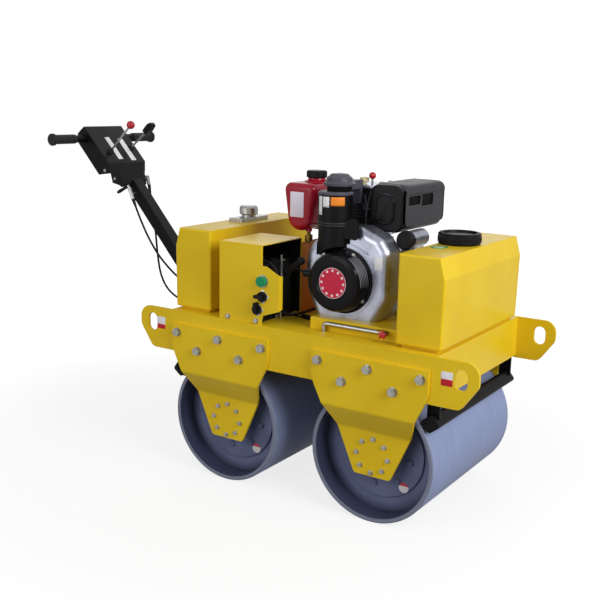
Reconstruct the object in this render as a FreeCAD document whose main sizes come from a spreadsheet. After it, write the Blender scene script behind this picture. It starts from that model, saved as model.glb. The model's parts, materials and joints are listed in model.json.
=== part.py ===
# Walk-behind mini vibratory roller: two steel drums under a plate frame that carries a diesel
# engine, a water tank, an oil tank, a battery box and a folding handle.
# FreeCAD macro, millimetres.  X points forward, Y to the operator's left, Z up.
# Everything is laid out from the point on the ground midway between the two drum axles.
import FreeCAD, Part
import math
import os
import re

import Sketcher

doc = FreeCAD.newDocument("mini_vibratory_roller")
sheet = doc.addObject("Spreadsheet::Sheet", "sizes")

# ---------------------------------------------------------------- driving dimensions
# (name, value, what it measures)
SIZES = (
    ("middle", -265.5, "X of the whole machine's middle, where the part's own origin goes"),
    # drums
    ("wheelbase", 564, "between the drum axles"),
    ("drum_dia", 425, "drum outside diameter"),
    ("drum_width", 600, "drum width"),
    ("drum_wall", 14, "rolled shell thickness"),
    ("drum_bevel", 4, "bevel at the shell's edges"),
    ("web_inset", 75, "end plate, in from the shell's edge"),
    ("web_wall", 12, "end plate thickness"),
    ("carrier_dia", 300, "raised bearing carrier on the end plate"),
    ("carrier_wall", 8, "how far the carrier stands out"),
    ("bearing_dia", 120, "opening in the end plate for the hub"),
    # frame plates
    ("plate_face", 327, "centre plane to a side plate's outer face"),
    ("plate_wall", 10, "thickness of side plates and yokes"),
    ("plate_top", 573, "top of side plates and deck"),
    ("plate_low", 430, "bottom of side plates"),
    ("plate_end", 631, "half length of a side plate"),
    ("ear_x", 578, "where the sloped end of a plate meets its bottom"),
    ("ear_z", 505, "where the sloped end begins"),
    ("slot_x", 577, "tie-down slot, from the middle"),
    ("slot_z", 519, "tie-down slot height above the ground"),
    ("slot_wide", 40, "tie-down slot width"),
    ("slot_tall", 62, "tie-down slot height"),
    ("deck_end", 487, "half length of the deck between the cross beams"),
    ("deck_wall", 6, "deck plate thickness"),
    ("rib_x", 150, "deck ribs, from the middle"),
    ("rib_deep", 45, "deck rib depth"),
    ("beam_wall", 10, "cross beam plate thickness"),
    ("beam_low", 437, "bottom of the cross beams"),
    ("beam_lip", 45, "width of a cross beam's bottom flange"),
    # yokes
    ("yoke_top", 530, "top edge of the yoke plates"),
    ("yoke_half", 200, "half width of a yoke at the side plate"),
    ("yoke_low", 145, "bottom edge of a yoke"),
    ("yoke_toe", 63, "half width of a yoke at its bottom"),
    ("joggle_z", 365, "where a yoke starts to bend in"),
    ("joggle_in", 50, "how far it bends in"),
    ("joggle_drop", 75, "height over which it bends in"),
    ("joggle_bend", 18, "radius of the bends"),
    # bolts that hold the yokes
    ("bolt_flats", 24, "yoke bolt head across its flats"),
    ("bolt_head", 10, "yoke bolt head height"),
    ("washer_dia", 30, "yoke bolt washer diameter"),
    ("washer_wall", 3, "yoke bolt washer thickness"),
    # hubs
    ("hub_dia", 150, "hub flange on the yoke"),
    ("hub_wall", 12, "hub flange thickness"),
    ("hub_neck", 119, "hub barrel diameter, a bearing fit in the end plate's opening"),
    ("hub_reach", 78, "how far the hub reaches in from the yoke"),
    # scraper bars
    ("scraper_x", 478, "scraper bar, from the middle"),
    ("scraper_z", 361, "scraper bar height above the ground"),
    ("scraper_side", 44, "side of the square scraper bar"),
    ("scraper_lean", 37, "how far the bar is turned to face the drum, degrees"),
    ("scraper_half", 300, "half length of a scraper bar"),
    # tanks
    ("tank_near", 348, "inner face of a tank, from the middle"),
    ("tank_far", 497, "outer face of a tank, from the middle"),
    ("tank_half", 295, "half width of a tank"),
    ("tank_low", 581, "underside of a tank"),
    ("tank_crease", 790, "height of the crease in a tank's outer face"),
    ("tank_top", 852, "top of a tank"),
    ("plinth_in", 14, "how far a tank's foot stands in from its sides"),
    ("cap_x", 406, "centre of the water cap"),
    ("cap_dia", 134, "water cap diameter"),
    ("cap_tall", 36, "water cap height"),
    ("breather_x", -424, "centre of the breather cap"),
    ("breather_y", 19, "centre of the breather cap"),
    ("breather_dia", 67, "breather cap diameter"),
    # battery box
    ("box_near", 318, "centre plane to the box's outer panel"),
    ("box_back", -291, "rear face of the box"),
    ("box_front", -122, "open front of the box"),
    ("box_top", 830, "top of the box"),
    ("box_far", -90, "Y of the box's inner side"),
    ("sheet", 3, "thickness of folded sheet panels"),
    # engine
    ("crank_x", 118, "crankshaft, forward of the middle"),
    ("crank_z", 733, "crankshaft height above the ground"),
    ("bed_top", 612, "top of the engine bed"),
    ("bed_back", 23, "rear of the engine bed"),
    ("bed_front", 342, "front of the engine bed"),
    ("bed_near", -255, "outer side of the engine bed"),
    ("bed_far", 200, "inner side of the engine bed"),
    ("case_near", -132, "flywheel face of the crankcase"),
    ("case_far", 95, "drive end of the crankcase"),
    ("case_top", 822, "top of the crankcase"),
    ("head_x", 85, "centre of the cylinder"),
    ("head_low", 890, "gasket face of the cylinder head"),
    ("head_top", 985, "top of the cylinder head"),
    ("fin_wall", 3, "thickness of a cooling fin"),
    ("fin_step", 11, "pitch of the cooling fins"),
    ("shroud_face", -215, "outer face of the blower shroud"),
    ("recoil_face", -283, "outer face of the recoil starter"),
    ("recoil_dia", 208, "recoil starter rim"),
    ("cleaner_x", 73, "air cleaner centre"),
    ("cleaner_y", -200, "air cleaner centre"),
    ("cleaner_dia", 108, "air cleaner diameter"),
    ("cleaner_low", 808, "bottom of the air cleaner"),
    ("cleaner_top", 1006, "top of the air cleaner"),
    ("fuel_back", -163, "rear side of the fuel tank"),
    ("fuel_front", -43, "front side of the fuel tank"),
    ("fuel_near", -145, "outer end of the fuel tank"),
    ("fuel_far", 105, "inner end of the fuel tank"),
    ("fuel_low", 860, "bottom of the fuel tank"),
    ("fuel_top", 1016, "top of the fuel tank"),
    ("muffler_back", 156, "rear side of the muffler"),
    ("muffler_front", 270, "front side of the muffler"),
    ("muffler_near", -130, "outer end of the muffler"),
    ("muffler_far", 155, "inner end of the muffler"),
    ("muffler_low", 883, "bottom of the muffler"),
    ("muffler_top", 1030, "top of the muffler"),
    ("starter_x", 290, "starter motor centre"),
    ("starter_z", 866, "starter motor centre"),
    ("starter_dia", 58, "starter motor diameter"),
    ("pump_far", 262, "inner end of the hydraulic pump"),
    # handle
    ("pivot_x", -568.6, "handle pivot"),
    ("pivot_z", 505, "handle pivot height above the ground"),
    ("boom_half", 23, "half the side of the boom's square tube"),
    ("boom_wall", 4, "boom tube wall"),
    ("boom_run", 597, "pivot to the top end of the boom"),
    ("boom_slope", 48.5, "boom's angle above the ground, degrees"),
    ("pin_dia", 20, "handle pivot pin"),
    ("lug_gap", 29, "centre plane to the inner face of a bracket lug"),
    ("lug_wall", 8, "bracket lug thickness"),
    ("console_half", 101, "half width of the console"),
    ("console_rear", -1127, "rear edge of the console's top plate"),
    ("console_top", 1164, "height of that edge"),
    ("bar_x", -1121, "handlebar centre"),
    ("bar_z", 1118, "handlebar height above the ground"),
    ("bar_dia", 28, "handlebar tube"),
    ("bar_half", 272, "half length of the handlebar"),
    ("grip_dia", 35, "handle grip diameter"),
    ("grip_run", 118, "handle grip length"),
    # cables
    ("cable_dia", 8, "control cable over its sheath"),
)
NAMES = {name for name, _, _ in SIZES}
for row, (name, size, meaning) in enumerate(SIZES, 1):
    sheet.set(f"A{row}", name)
    sheet.set(f"B{row}", str(size))
    sheet.set(f"C{row}", meaning)
    sheet.setAlias(f"B{row}", name)
doc.recompute()

ENDS = (("front", 1), ("rear", -1))
SIDES = (("right", 1), ("left", -1))
PIECES = []


# ---------------------------------------------------------------- working with the sheet
def number(text):
    """Value of an expression over the sheet's names."""
    return float(sheet.evalExpression(str(text)))


def drive(thing, place, text):
    """Bind a property of a document object to an expression over the sheet's names."""
    bound = re.sub(r"[a-z_]+", lambda word: f"sizes.{word.group()}" if word.group() in NAMES
                   else word.group(), str(text))
    thing.setExpression(place, bound)


def keep(thing, shift="0"):
    """Count a finished object as a piece of the roller and move it to the part's own origin."""
    drive(thing, "Placement.Base.x", f"({shift}) - (middle)")
    PIECES.append(thing)
    return thing


# ---------------------------------------------------------------- primitives
def block(name, across, along, tall):
    """Box between the (low, high) expressions of X, Y and Z."""
    solid = doc.addObject("Part::Box", name)
    spans = (("Length", "x", across), ("Width", "y", along), ("Height", "z", tall))
    for side, axis, (low, high) in spans:
        drive(solid, side, f"({high}) - ({low})")
        drive(solid, f"Placement.Base.{axis}", low)
    return solid


TURNS = {
    "x": FreeCAD.Rotation(FreeCAD.Vector(0, 1, 0), 90),
    "y": FreeCAD.Rotation(FreeCAD.Vector(1, 0, 0), -90),
    "z": FreeCAD.Rotation(),
}


def round_bar(name, axis, start, length, dia):
    """Cylinder along an axis from its start point (three expressions)."""
    solid = doc.addObject("Part::Cylinder", name)
    solid.Placement = FreeCAD.Placement(FreeCAD.Vector(), TURNS[axis])
    for letter, text in zip("xyz", start):
        drive(solid, f"Placement.Base.{letter}", text)
    drive(solid, "Radius", f"({dia}) / 2")
    drive(solid, "Height", length)
    return solid


def hex_bar(name, axis, start, length, flats):
    """Hexagonal bar along an axis from its start point, given its size across the flats."""
    solid = doc.addObject("Part::Prism", name)
    solid.Polygon = 6
    solid.Placement = FreeCAD.Placement(FreeCAD.Vector(), TURNS[axis])
    for letter, text in zip("xyz", start):
        drive(solid, f"Placement.Base.{letter}", text)
    drive(solid, "Circumradius", f"({flats}) / sqrt(3)")
    drive(solid, "Height", length)
    return solid


def fused(name, *solids):
    """One solid from several that touch."""
    joined = doc.addObject("Part::MultiFuse", name)
    joined.Shapes = list(solids)
    return joined


def less(name, base, tool):
    """A solid with another cut out of it."""
    result = doc.addObject("Part::Cut", name)
    result.Base = base
    result.Tool = tool
    return result


def group(name, *solids):
    """Like pieces that don't touch, kept as one piece of several solids."""
    together = doc.addObject("Part::Compound", name)
    together.Links = list(solids)
    return together


# ---------------------------------------------------------------- sketches and features
def new_body(name):
    """Empty PartDesign body."""
    return doc.addObject("PartDesign::Body", name)


def new_sketch(body, plane, offset="0", across="0", up="0"):
    """Sketch on an origin plane of the body, moved along its normal and within the plane."""
    sketch = body.newObject("Sketcher::SketchObject", f"{body.Name}_sketch")
    face = next(item for item in body.Origin.OriginFeatures if item.Role == f"{plane}_Plane")
    sketch.AttachmentSupport = [(face, "")]
    sketch.MapMode = "FlatFace"
    drive(sketch, "AttachmentOffset.Base.x", across)
    drive(sketch, "AttachmentOffset.Base.y", up)
    drive(sketch, "AttachmentOffset.Base.z", offset)
    return sketch


def pin_point(sketch, item, end, across, up):
    """Hold a point of the sketch at two driven distances from the sketch's origin."""
    for kind, text in (("DistanceX", across), ("DistanceY", up)):
        place = sketch.addConstraint(Sketcher.Constraint(kind, -1, 1, item, end, number(text)))
        drive(sketch, f"Constraints[{place}]", text)


def loop(sketch, corners):
    """Closed outline of straight edges through a table of (across, up) corners."""
    first = sketch.GeometryCount
    spots = [FreeCAD.Vector(number(across), number(up), 0) for across, up in corners]
    ends = spots[1:] + spots[:1]
    for begin, end in zip(spots, ends):
        sketch.addGeometry(Part.LineSegment(begin, end), False)
    for item in range(len(spots)):
        after = first + (item + 1) % len(spots)
        sketch.addConstraint(Sketcher.Constraint("Coincident", first + item, 2, after, 1))
    for item, (across, up) in enumerate(corners, first):
        pin_point(sketch, item, 1, across, up)


def rounded(sketch, corners):
    """Closed outline through a table of (across, up, corner radius); 0 leaves a sharp corner."""
    first = sketch.GeometryCount
    count = len(corners)
    spots = [FreeCAD.Vector(number(across), number(up), 0) for across, up, _ in corners]
    starts = []
    stops = []
    bends = []
    for place, (spot, row) in enumerate(zip(spots, corners)):
        back = (spots[place - 1] - spot).normalize()
        ahead = (spots[(place + 1) % count] - spot).normalize()
        half_turn = (math.pi - back.getAngle(ahead)) / 2
        setback = number(row[2]) * math.tan(half_turn)
        starts.append(spot + back * setback)
        stops.append(spot + ahead * setback)
        centre = spot + (back + ahead).normalize() * (number(row[2]) / math.cos(half_turn))
        bends.append((centre, back.cross(ahead).z < 0))
    for place in range(count):
        run = Part.LineSegment(stops[place], starts[(place + 1) % count])
        sketch.addGeometry(run, False)
    for place, (across, up, radius) in enumerate(corners):
        before = first + (place - 1) % count
        after = first + place
        if number(radius) == 0:
            sketch.addConstraint(Sketcher.Constraint("Coincident", before, 2, after, 1))
            pin_point(sketch, after, 1, across, up)
            continue
        centre, left = bends[place]
        begin, end = (starts[place], stops[place]) if left else (stops[place], starts[place])
        angle = math.atan2(begin.y - centre.y, begin.x - centre.x)
        turn = math.atan2(end.y - centre.y, end.x - centre.x) - angle
        circle = Part.Circle(centre, FreeCAD.Vector(0, 0, 1), number(radius))
        bend = sketch.addGeometry(Part.ArcOfCircle(circle, angle, angle + turn % math.tau), False)
        near, far = (1, 2) if left else (2, 1)
        sketch.addConstraint(Sketcher.Constraint("Tangent", before, 2, bend, near))
        sketch.addConstraint(Sketcher.Constraint("Tangent", bend, far, after, 1))
        corner = sketch.addGeometry(Part.Point(spots[place]), True)
        for line in (before, after):
            sketch.addConstraint(Sketcher.Constraint("PointOnObject", corner, 1, line))
        pin_point(sketch, corner, 1, across, up)
        size = sketch.addConstraint(Sketcher.Constraint("Radius", bend, number(radius)))
        drive(sketch, f"Constraints[{size}]", radius)


def ring(sketch, across, up, dia):
    """Circle with a driven centre and diameter."""
    centre = FreeCAD.Vector(number(across), number(up), 0)
    radius = number(f"({dia}) / 2")
    item = sketch.addGeometry(Part.Circle(centre, FreeCAD.Vector(0, 0, 1), radius), False)
    pin_point(sketch, item, 3, across, up)
    place = sketch.addConstraint(Sketcher.Constraint("Radius", item, radius))
    drive(sketch, f"Constraints[{place}]", f"({dia}) / 2")


def obround(sketch, across, up, wide, tall):
    """Upright slot with round ends."""
    middle_x = number(across)
    middle_y = number(up)
    radius = number(f"({wide}) / 2")
    reach = number(f"(({tall}) - ({wide})) / 2")
    normal = FreeCAD.Vector(0, 0, 1)
    arcs = []
    for side, start in ((1, 0), (-1, math.pi)):
        centre = FreeCAD.Vector(middle_x, middle_y + side * reach, 0)
        arc = Part.ArcOfCircle(Part.Circle(centre, normal, radius), start, start + math.pi)
        arcs.append(sketch.addGeometry(arc, False))
    for here, there in (arcs, arcs[::-1]):
        run = Part.LineSegment(sketch.Geometry[here].EndPoint, sketch.Geometry[there].StartPoint)
        line = sketch.addGeometry(run, False)
        sketch.addConstraint(Sketcher.Constraint("Tangent", here, 2, line, 1))
        sketch.addConstraint(Sketcher.Constraint("Tangent", line, 2, there, 1))
    pin_point(sketch, arcs[0], 3, across, f"({up}) + (({tall}) - ({wide})) / 2")
    pin_point(sketch, arcs[1], 3, across, f"({up}) - (({tall}) - ({wide})) / 2")
    place = sketch.addConstraint(Sketcher.Constraint("Radius", arcs[0], radius))
    drive(sketch, f"Constraints[{place}]", f"({wide}) / 2")


def pad(body, sketch, length, way="up"):
    """Extrude a sketch up its normal, down it, or both ways from it."""
    feature = body.newObject("PartDesign::Pad", f"{body.Name}_pad")
    feature.Profile = sketch
    feature.Midplane = way == "both"
    feature.Reversed = way == "down"
    drive(feature, "Length", length)
    return feature


def pocket(body, sketch, depth=None, way="both"):
    """Cut a sketch out of the body: to a depth, or right through where none is given."""
    doc.recompute()
    before = body.Shape.Volume
    feature = body.newObject("PartDesign::Pocket", f"{body.Name}_pocket")
    feature.Profile = sketch
    feature.Midplane = way == "both"
    feature.Reversed = way == "up"
    if depth is None:
        feature.Type = "ThroughAll"
    else:
        drive(feature, "Length", depth)
    doc.recompute()
    if body.Shape.Volume > before - 1:
        raise RuntimeError(f"{feature.Name} cuts nothing")
    return feature


def turned(body, sketch, axis="V_Axis"):
    """Full revolution of a sketch about one of its own axes."""
    feature = body.newObject("PartDesign::Revolution", f"{body.Name}_turned")
    feature.Profile = sketch
    feature.ReferenceAxis = (sketch, [axis])
    feature.Angle = 360
    return feature


def grooved(body, sketch, angle):
    """Cut a sketch out of the body, swept about its own vertical axis to both sides of it."""
    doc.recompute()
    before = body.Shape.Volume
    feature = body.newObject("PartDesign::Groove", f"{body.Name}_groove")
    feature.Profile = sketch
    feature.ReferenceAxis = (sketch, ["V_Axis"])
    feature.Midplane = True
    drive(feature, "Angle", angle)
    doc.recompute()
    if body.Shape.Volume > before - 1:
        raise RuntimeError(f"{feature.Name} cuts nothing")
    return feature


def soften(body, radius, choose, kind="Fillet"):
    """Fillet or chamfer the edges of the body so far that a test picks out."""
    doc.recompute()
    base = body.Tip
    edges = [f"Edge{count}" for count, edge in enumerate(base.Shape.Edges, 1) if choose(edge)]
    feature = body.newObject(f"PartDesign::{kind}", f"{body.Name}_{kind.lower()}")
    feature.Base = (base, edges)
    drive(feature, "Radius" if kind == "Fillet" else "Size", radius)
    doc.recompute()
    return feature


def along(axis):
    """Test for straight edges that run along an axis."""
    def choose(edge):
        if not isinstance(edge.Curve, Part.Line):
            return False
        return abs(getattr(edge.Curve.Direction, axis)) > 0.999
    return choose


def every(*tests):
    """Test that holds where all the given tests hold."""
    return lambda edge: all(test(edge) for test in tests)


def beyond(axis, limit, side=1):
    """Test for edges whose middle lies past a limit on an axis."""
    edge_at = number(limit)
    return lambda edge: side * (getattr(edge.CenterOfMass, axis) - edge_at) > 0


def repeat_along(body, feature, axis, length, count):
    """Linear pattern of a feature along one of the body's own axes."""
    pattern = body.newObject("PartDesign::LinearPattern", f"{body.Name}_row")
    line = next(item for item in body.Origin.OriginFeatures if item.Role == f"{axis}_Axis")
    pattern.Originals = [feature]
    pattern.Direction = (line, [""])
    drive(pattern, "Length", length)
    pattern.Occurrences = count
    body.Tip = pattern
    return pattern


# ---------------------------------------------------------------- bent tubes and cables
def bent_path(points, share):
    """Wire of straight runs joined by tangent arcs; gives the wire and its arc radii.

    Each arc's radius is the share of the shorter run beside it over tan(half the turn).
    """
    spots = [FreeCAD.Vector(*point) for point in points]
    edges = []
    radii = []
    start = spots[0]
    for before, corner, after in zip(spots, spots[1:], spots[2:]):
        back = (before - corner).normalize()
        ahead = (after - corner).normalize()
        setback = share * min((before - corner).Length, (after - corner).Length)
        half_turn = (math.pi - back.getAngle(ahead)) / 2
        radius = setback / math.tan(half_turn)
        inward = (back + ahead).normalize()
        arc_start = corner + back * setback
        arc_end = corner + ahead * setback
        arc_middle = corner + inward * (radius / math.cos(half_turn) - radius)
        edges.append(Part.LineSegment(start, arc_start).toShape())
        edges.append(Part.Arc(arc_start, arc_middle, arc_end).toShape())
        radii.append(radius)
        start = arc_end
    edges.append(Part.LineSegment(start, spots[-1]).toShape())
    return Part.Wire(edges), radii


def tube(name, points, dia, share=0.45):
    """Round tube or cable along a bent path, as one solid."""
    path, radii = bent_path(points, share)
    first = path.Edges[0]
    begin = first.valueAt(first.FirstParameter)
    heading = first.tangentAt(first.FirstParameter)
    section = Part.Wire(Part.Circle(begin, heading, number(dia) / 2).toShape())
    piece = doc.addObject("Part::Feature", name)
    piece.Shape = path.makePipeShell([section], True, False)
    drawn = math.pi * number(dia) ** 2 / 4 * path.Length
    print(f"{name}: length {path.Length:.0f}, smallest radius {min(radii):.0f},",
          f"volume {piece.Shape.Volume:.0f} against {drawn:.0f}")
    return piece


# ---------------------------------------------------------------- drums
def make_drum(end, ahead):
    """Rolled shell with two inset end plates, each with a raised bearing carrier."""
    body = new_body(f"{end}_drum")
    axle = f"{ahead} * wheelbase / 2"
    sketch = new_sketch(body, "XY", "drum_dia / 2", axle)
    shell = "drum_dia / 2"
    inside = "drum_dia / 2 - drum_wall"
    edge = "drum_width / 2"
    web = "drum_width / 2 - web_inset"
    right_half = (
        # (radius, along the axle)
        (f"{shell} - drum_bevel", edge),
        (inside, edge),
        (inside, web),
        ("carrier_dia / 2", web),
        ("carrier_dia / 2", f"{web} + carrier_wall"),
        ("bearing_dia / 2", f"{web} + carrier_wall"),
        ("bearing_dia / 2", f"{web} - web_wall"),
        (inside, f"{web} - web_wall"),
    )
    left_half = [(radius, f"-({place})") for radius, place in right_half[::-1]]
    bevels = ((shell, f"-({edge} - drum_bevel)"), (shell, f"{edge} - drum_bevel"))
    loop(sketch, [*right_half, *left_half, *bevels])
    turned(body, sketch)
    return keep(body)


# ---------------------------------------------------------------- frame
def lateral(side, face, wall):
    """Sketch offset for a plate whose outer face is at the given distance on one side."""
    return f"({face}) - ({wall})" if side > 0 else f"-({face})"


def make_side_plate(word, side):
    """Long side plate with sloped ends and a tie-down slot in each ear."""
    body = new_body(f"side_plate_{word}")
    face = lateral(side, "plate_face", "plate_wall")
    sketch = new_sketch(body, "XZ", face)
    loop(sketch, (
        ("-plate_end", "plate_top"),
        ("plate_end", "plate_top"),
        ("plate_end", "ear_z"),
        ("ear_x", "plate_low"),
        ("-ear_x", "plate_low"),
        ("-plate_end", "ear_z"),
    ))
    pad(body, sketch, "plate_wall")
    soften(body, "40", every(along("y"), beyond("z", "ear_z + 1")))
    soften(body, "28", every(along("y"), beyond("z", "ear_z + 1", -1)))
    slots = new_sketch(body, "XZ", face)
    for end in ("", "-"):
        obround(slots, f"{end}slot_x", "slot_z", "slot_wide", "slot_tall")
    pocket(body, slots)
    return keep(body)


def make_deck():
    """Deck plate between the side plates, with two ribs across its underside."""
    body = new_body("deck_plate")
    sketch = new_sketch(body, "XY", "plate_top - deck_wall")
    inner = "plate_face - plate_wall"
    loop(sketch, (
        ("-deck_end", f"-({inner})"),
        ("deck_end", f"-({inner})"),
        ("deck_end", inner),
        ("-deck_end", inner),
    ))
    pad(body, sketch, "deck_wall")
    ribs = new_sketch(body, "XZ")
    under = "plate_top - deck_wall"
    for end in ("", "-"):
        loop(ribs, (
            (f"{end}rib_x - 4", under),
            (f"{end}rib_x + 4", under),
            (f"{end}rib_x + 4", f"{under} - rib_deep"),
            (f"{end}rib_x - 4", f"{under} - rib_deep"),
        ))
    pad(body, ribs, f"2 * ({inner})", "both")
    return keep(body)


def make_cross_beams():
    """Folded plates that close the frame's ends, their bottom flanges turned in."""
    beams = []
    for end, ahead in ENDS:
        body = new_body(f"{end}_cross_beam")
        sketch = new_sketch(body, "XZ")
        outer = "deck_end + beam_wall"
        corners = (
            (outer, "plate_top"),
            (outer, "beam_low"),
            ("deck_end - beam_lip", "beam_low"),
            ("deck_end - beam_lip", "beam_low + beam_wall"),
            ("deck_end", "beam_low + beam_wall"),
            ("deck_end", "plate_top"),
        )
        loop(sketch, [(f"{ahead} * ({x})", z) for x, z in corners])
        pad(body, sketch, "2 * (plate_face - plate_wall)", "both")
        beams.append(body)
    return keep(group("cross_beams", *beams))


def make_yoke(end, ahead, word, side):
    """Yoke plate bolted to a side plate, joggled in so that its lower part sits in the drum."""
    body = new_body(f"{end}_{word}_yoke")
    axle = f"{ahead} * wheelbase / 2"
    lean = "(joggle_in / joggle_drop)"
    rise = f"plate_wall * (sqrt(1 + {lean}^2) - 1) / {lean}"
    outer = "plate_face + plate_wall"
    section = (
        # (outward from the centre plane, height)
        (outer, "yoke_top"),
        (outer, "joggle_z"),
        (f"{outer} - joggle_in", "joggle_z - joggle_drop"),
        (f"{outer} - joggle_in", "yoke_low"),
        ("plate_face - joggle_in", "yoke_low"),
        ("plate_face - joggle_in", f"joggle_z - joggle_drop + {rise}"),
        ("plate_face", f"joggle_z + {rise}"),
        ("plate_face", "yoke_top"),
    )
    bend = new_sketch(body, "YZ", axle)
    loop(bend, [(f"{-side} * ({out})", z) for out, z in section])
    pad(body, bend, "2 * yoke_half", "both")
    bends = every(along("x"), beyond("z", "yoke_low + 20"), beyond("z", "yoke_top - 20", -1))
    soften(body, "joggle_bend", bends)
    half_outline = (
        # (from the axle's plane, height)
        ("yoke_half", "yoke_top"),
        ("yoke_half", "460"),
        ("191", "430"),
        ("155", "357"),
        ("2 * yoke_toe", "288"),
        ("yoke_toe", "yoke_low"),
    )
    trim = new_sketch(body, "XZ", "0", axle)
    other_half = [(f"-({x})", z) for x, z in half_outline[::-1]]
    loop(trim, [*half_outline, *other_half])
    margin = "yoke_half + 30"
    loop(trim, (
        (margin, "yoke_top + 30"),
        (margin, "yoke_low - 30"),
        (f"-({margin})", "yoke_low - 30"),
        (f"-({margin})", "yoke_top + 30"),
    ))
    pocket(body, trim)
    soften(body, "12", every(along("y"), beyond("z", "yoke_low + 1", -1)))
    return body


def make_yokes():
    """The two yoke plates of each drum."""
    for end, ahead in ENDS:
        pair = [make_yoke(end, ahead, word, side) for word, side in SIDES]
        keep(group(f"{end}_yokes", *pair))


def make_yoke_bolts():
    """Five hexagon bolts through each yoke into its side plate, heads and washers outside."""
    rows = (
        # (forward from the axle, height)
        ("-175", "502"),
        ("0", "502"),
        ("175", "502"),
        ("-87.5", "449"),
        ("87.5", "449"),
    )
    face = "plate_face + plate_wall"
    bolts = []
    for end, ahead in ENDS:
        for word, side in SIDES:
            for place, (forward, up) in enumerate(rows, 1):
                name = f"{end}_{word}_bolt_{place}"
                spot_x = f"{ahead} * wheelbase / 2 + {forward}"
                proud = f"{face} + washer_wall"
                washer_start = f"-({proud})" if side > 0 else face
                head_start = f"-({proud} + bolt_head)" if side > 0 else proud
                washer = round_bar(f"{name}_washer", "y", (spot_x, washer_start, up),
                                   "washer_wall", "washer_dia")
                head = hex_bar(f"{name}_head", "y", (spot_x, head_start, up),
                               "bolt_head", "bolt_flats")
                bolts.append(fused(name, washer, head))
    return keep(group("yoke_bolts", *bolts))


def make_hubs():
    """Hub on each yoke: a flange against the plate and a barrel into the drum's end plate."""
    hubs = []
    for end, ahead in ENDS:
        axle = f"{ahead} * wheelbase / 2"
        for word, side in SIDES:
            name = f"{end}_{word}_hub"
            face = "plate_face - joggle_in"
            tip = f"{face} - hub_reach"
            flange_start = f"-({face})" if side > 0 else f"{face} - hub_wall"
            barrel_start = f"-({face}) + hub_wall" if side > 0 else tip
            flange = round_bar(f"{name}_flange", "y", (axle, flange_start, "drum_dia / 2"),
                               "hub_wall", "hub_dia")
            barrel = round_bar(f"{name}_barrel", "y", (axle, barrel_start, "drum_dia / 2"),
                               "hub_reach - hub_wall", "hub_neck")
            hubs.append(fused(name, flange, barrel))
    return keep(group("drum_hubs", *hubs))


def make_scrapers():
    """Square scraper bar across each drum with a rubber lip, hung from the cross beam."""
    bars = []
    hangers = []
    half = "scraper_side / 2"
    for end, ahead in ENDS:
        body = new_body(f"{end}_scraper_bar")
        sketch = new_sketch(body, "XZ")

        def turned_point(out, up):
            """Point given by its distances from the bar's axis, away from the drum and along it."""
            away = f"({out}) * cos(scraper_lean) - ({up}) * sin(scraper_lean)"
            high = f"({out}) * sin(scraper_lean) + ({up}) * cos(scraper_lean)"
            return f"{ahead} * (scraper_x + {away})", f"scraper_z + {high}"

        square = ((half, half), (f"-({half})", half), (f"-({half})", f"-({half})"),
                  (half, f"-({half})"))
        rounded(sketch, [(*turned_point(out, up), "9") for out, up in square])
        pad(body, sketch, "2 * scraper_half", "both")
        lip = new_sketch(body, "XZ")
        strip = ((f"-({half}) + 1", "-13"), (f"-({half}) + 1", "13"),
                 (f"-({half}) - 5", "13"), (f"-({half}) - 5", "-13"))
        loop(lip, [turned_point(out, up) for out, up in strip])
        pad(body, lip, "2 * scraper_half - 8", "both")
        bars.append(body)
        for word, side in SIDES:
            near = ("scraper_half - 24", "scraper_half - 16")
            span = near if side < 0 else (f"-({near[1]})", f"-({near[0]})")
            reach = (f"{ahead} * scraper_x - 20", f"{ahead} * scraper_x + 20")
            name = f"{end}_scraper_hanger_{word}"
            plate = block(f"{name}_plate", reach, span, ("scraper_z + 12", "beam_low"))
            hangers.append(less(name, plate, body))
    keep(group("scraper_bars", *bars))
    return keep(group("scraper_hangers", *hangers))


# ---------------------------------------------------------------- tanks
def make_tank(name, ahead):
    """Full-width tank, its outer face creased below the top, standing on an inset foot."""
    body = new_body(name)
    sketch = new_sketch(body, "XZ")
    corners = (
        ("tank_near", "tank_low"),
        ("tank_far", "tank_low"),
        ("tank_far + 3", "tank_crease"),
        ("tank_far - 14", "tank_top"),
        ("tank_near", "tank_top"),
    )
    loop(sketch, [(f"{ahead} * ({x})", z) for x, z in corners])
    pad(body, sketch, "2 * tank_half", "both")
    soften(body, "7", lambda edge: not along("y")(edge) or edge.CenterOfMass.z < 600)
    foot = new_sketch(body, "XY", "plate_top")
    inner = f"{ahead} * (tank_near + plinth_in)"
    outer = f"{ahead} * (tank_far - plinth_in)"
    half = "tank_half - plinth_in"
    loop(foot, ((inner, f"-({half})"), (outer, f"-({half})"), (outer, half), (inner, half)))
    pad(body, foot, "tank_low - plate_top + 2")
    return keep(body)


def make_water_cap():
    """Screw cap of the water tank with a sunk top and finger grooves."""
    body = new_body("water_tank_cap")
    sketch = new_sketch(body, "XZ", "0", "cap_x")
    loop(sketch, (
        ("0", "tank_top"),
        ("cap_dia / 2 - 4", "tank_top"),
        ("cap_dia / 2", "tank_top + 5"),
        ("cap_dia / 2", "tank_top + cap_tall - 4"),
        ("cap_dia / 2 - 4", "tank_top + cap_tall"),
        ("cap_dia / 2 - 12", "tank_top + cap_tall"),
        ("cap_dia / 2 - 14", "tank_top + cap_tall - 7"),
        ("0", "tank_top + cap_tall - 7"),
    ))
    turned(body, sketch)
    return keep(body)


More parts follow.
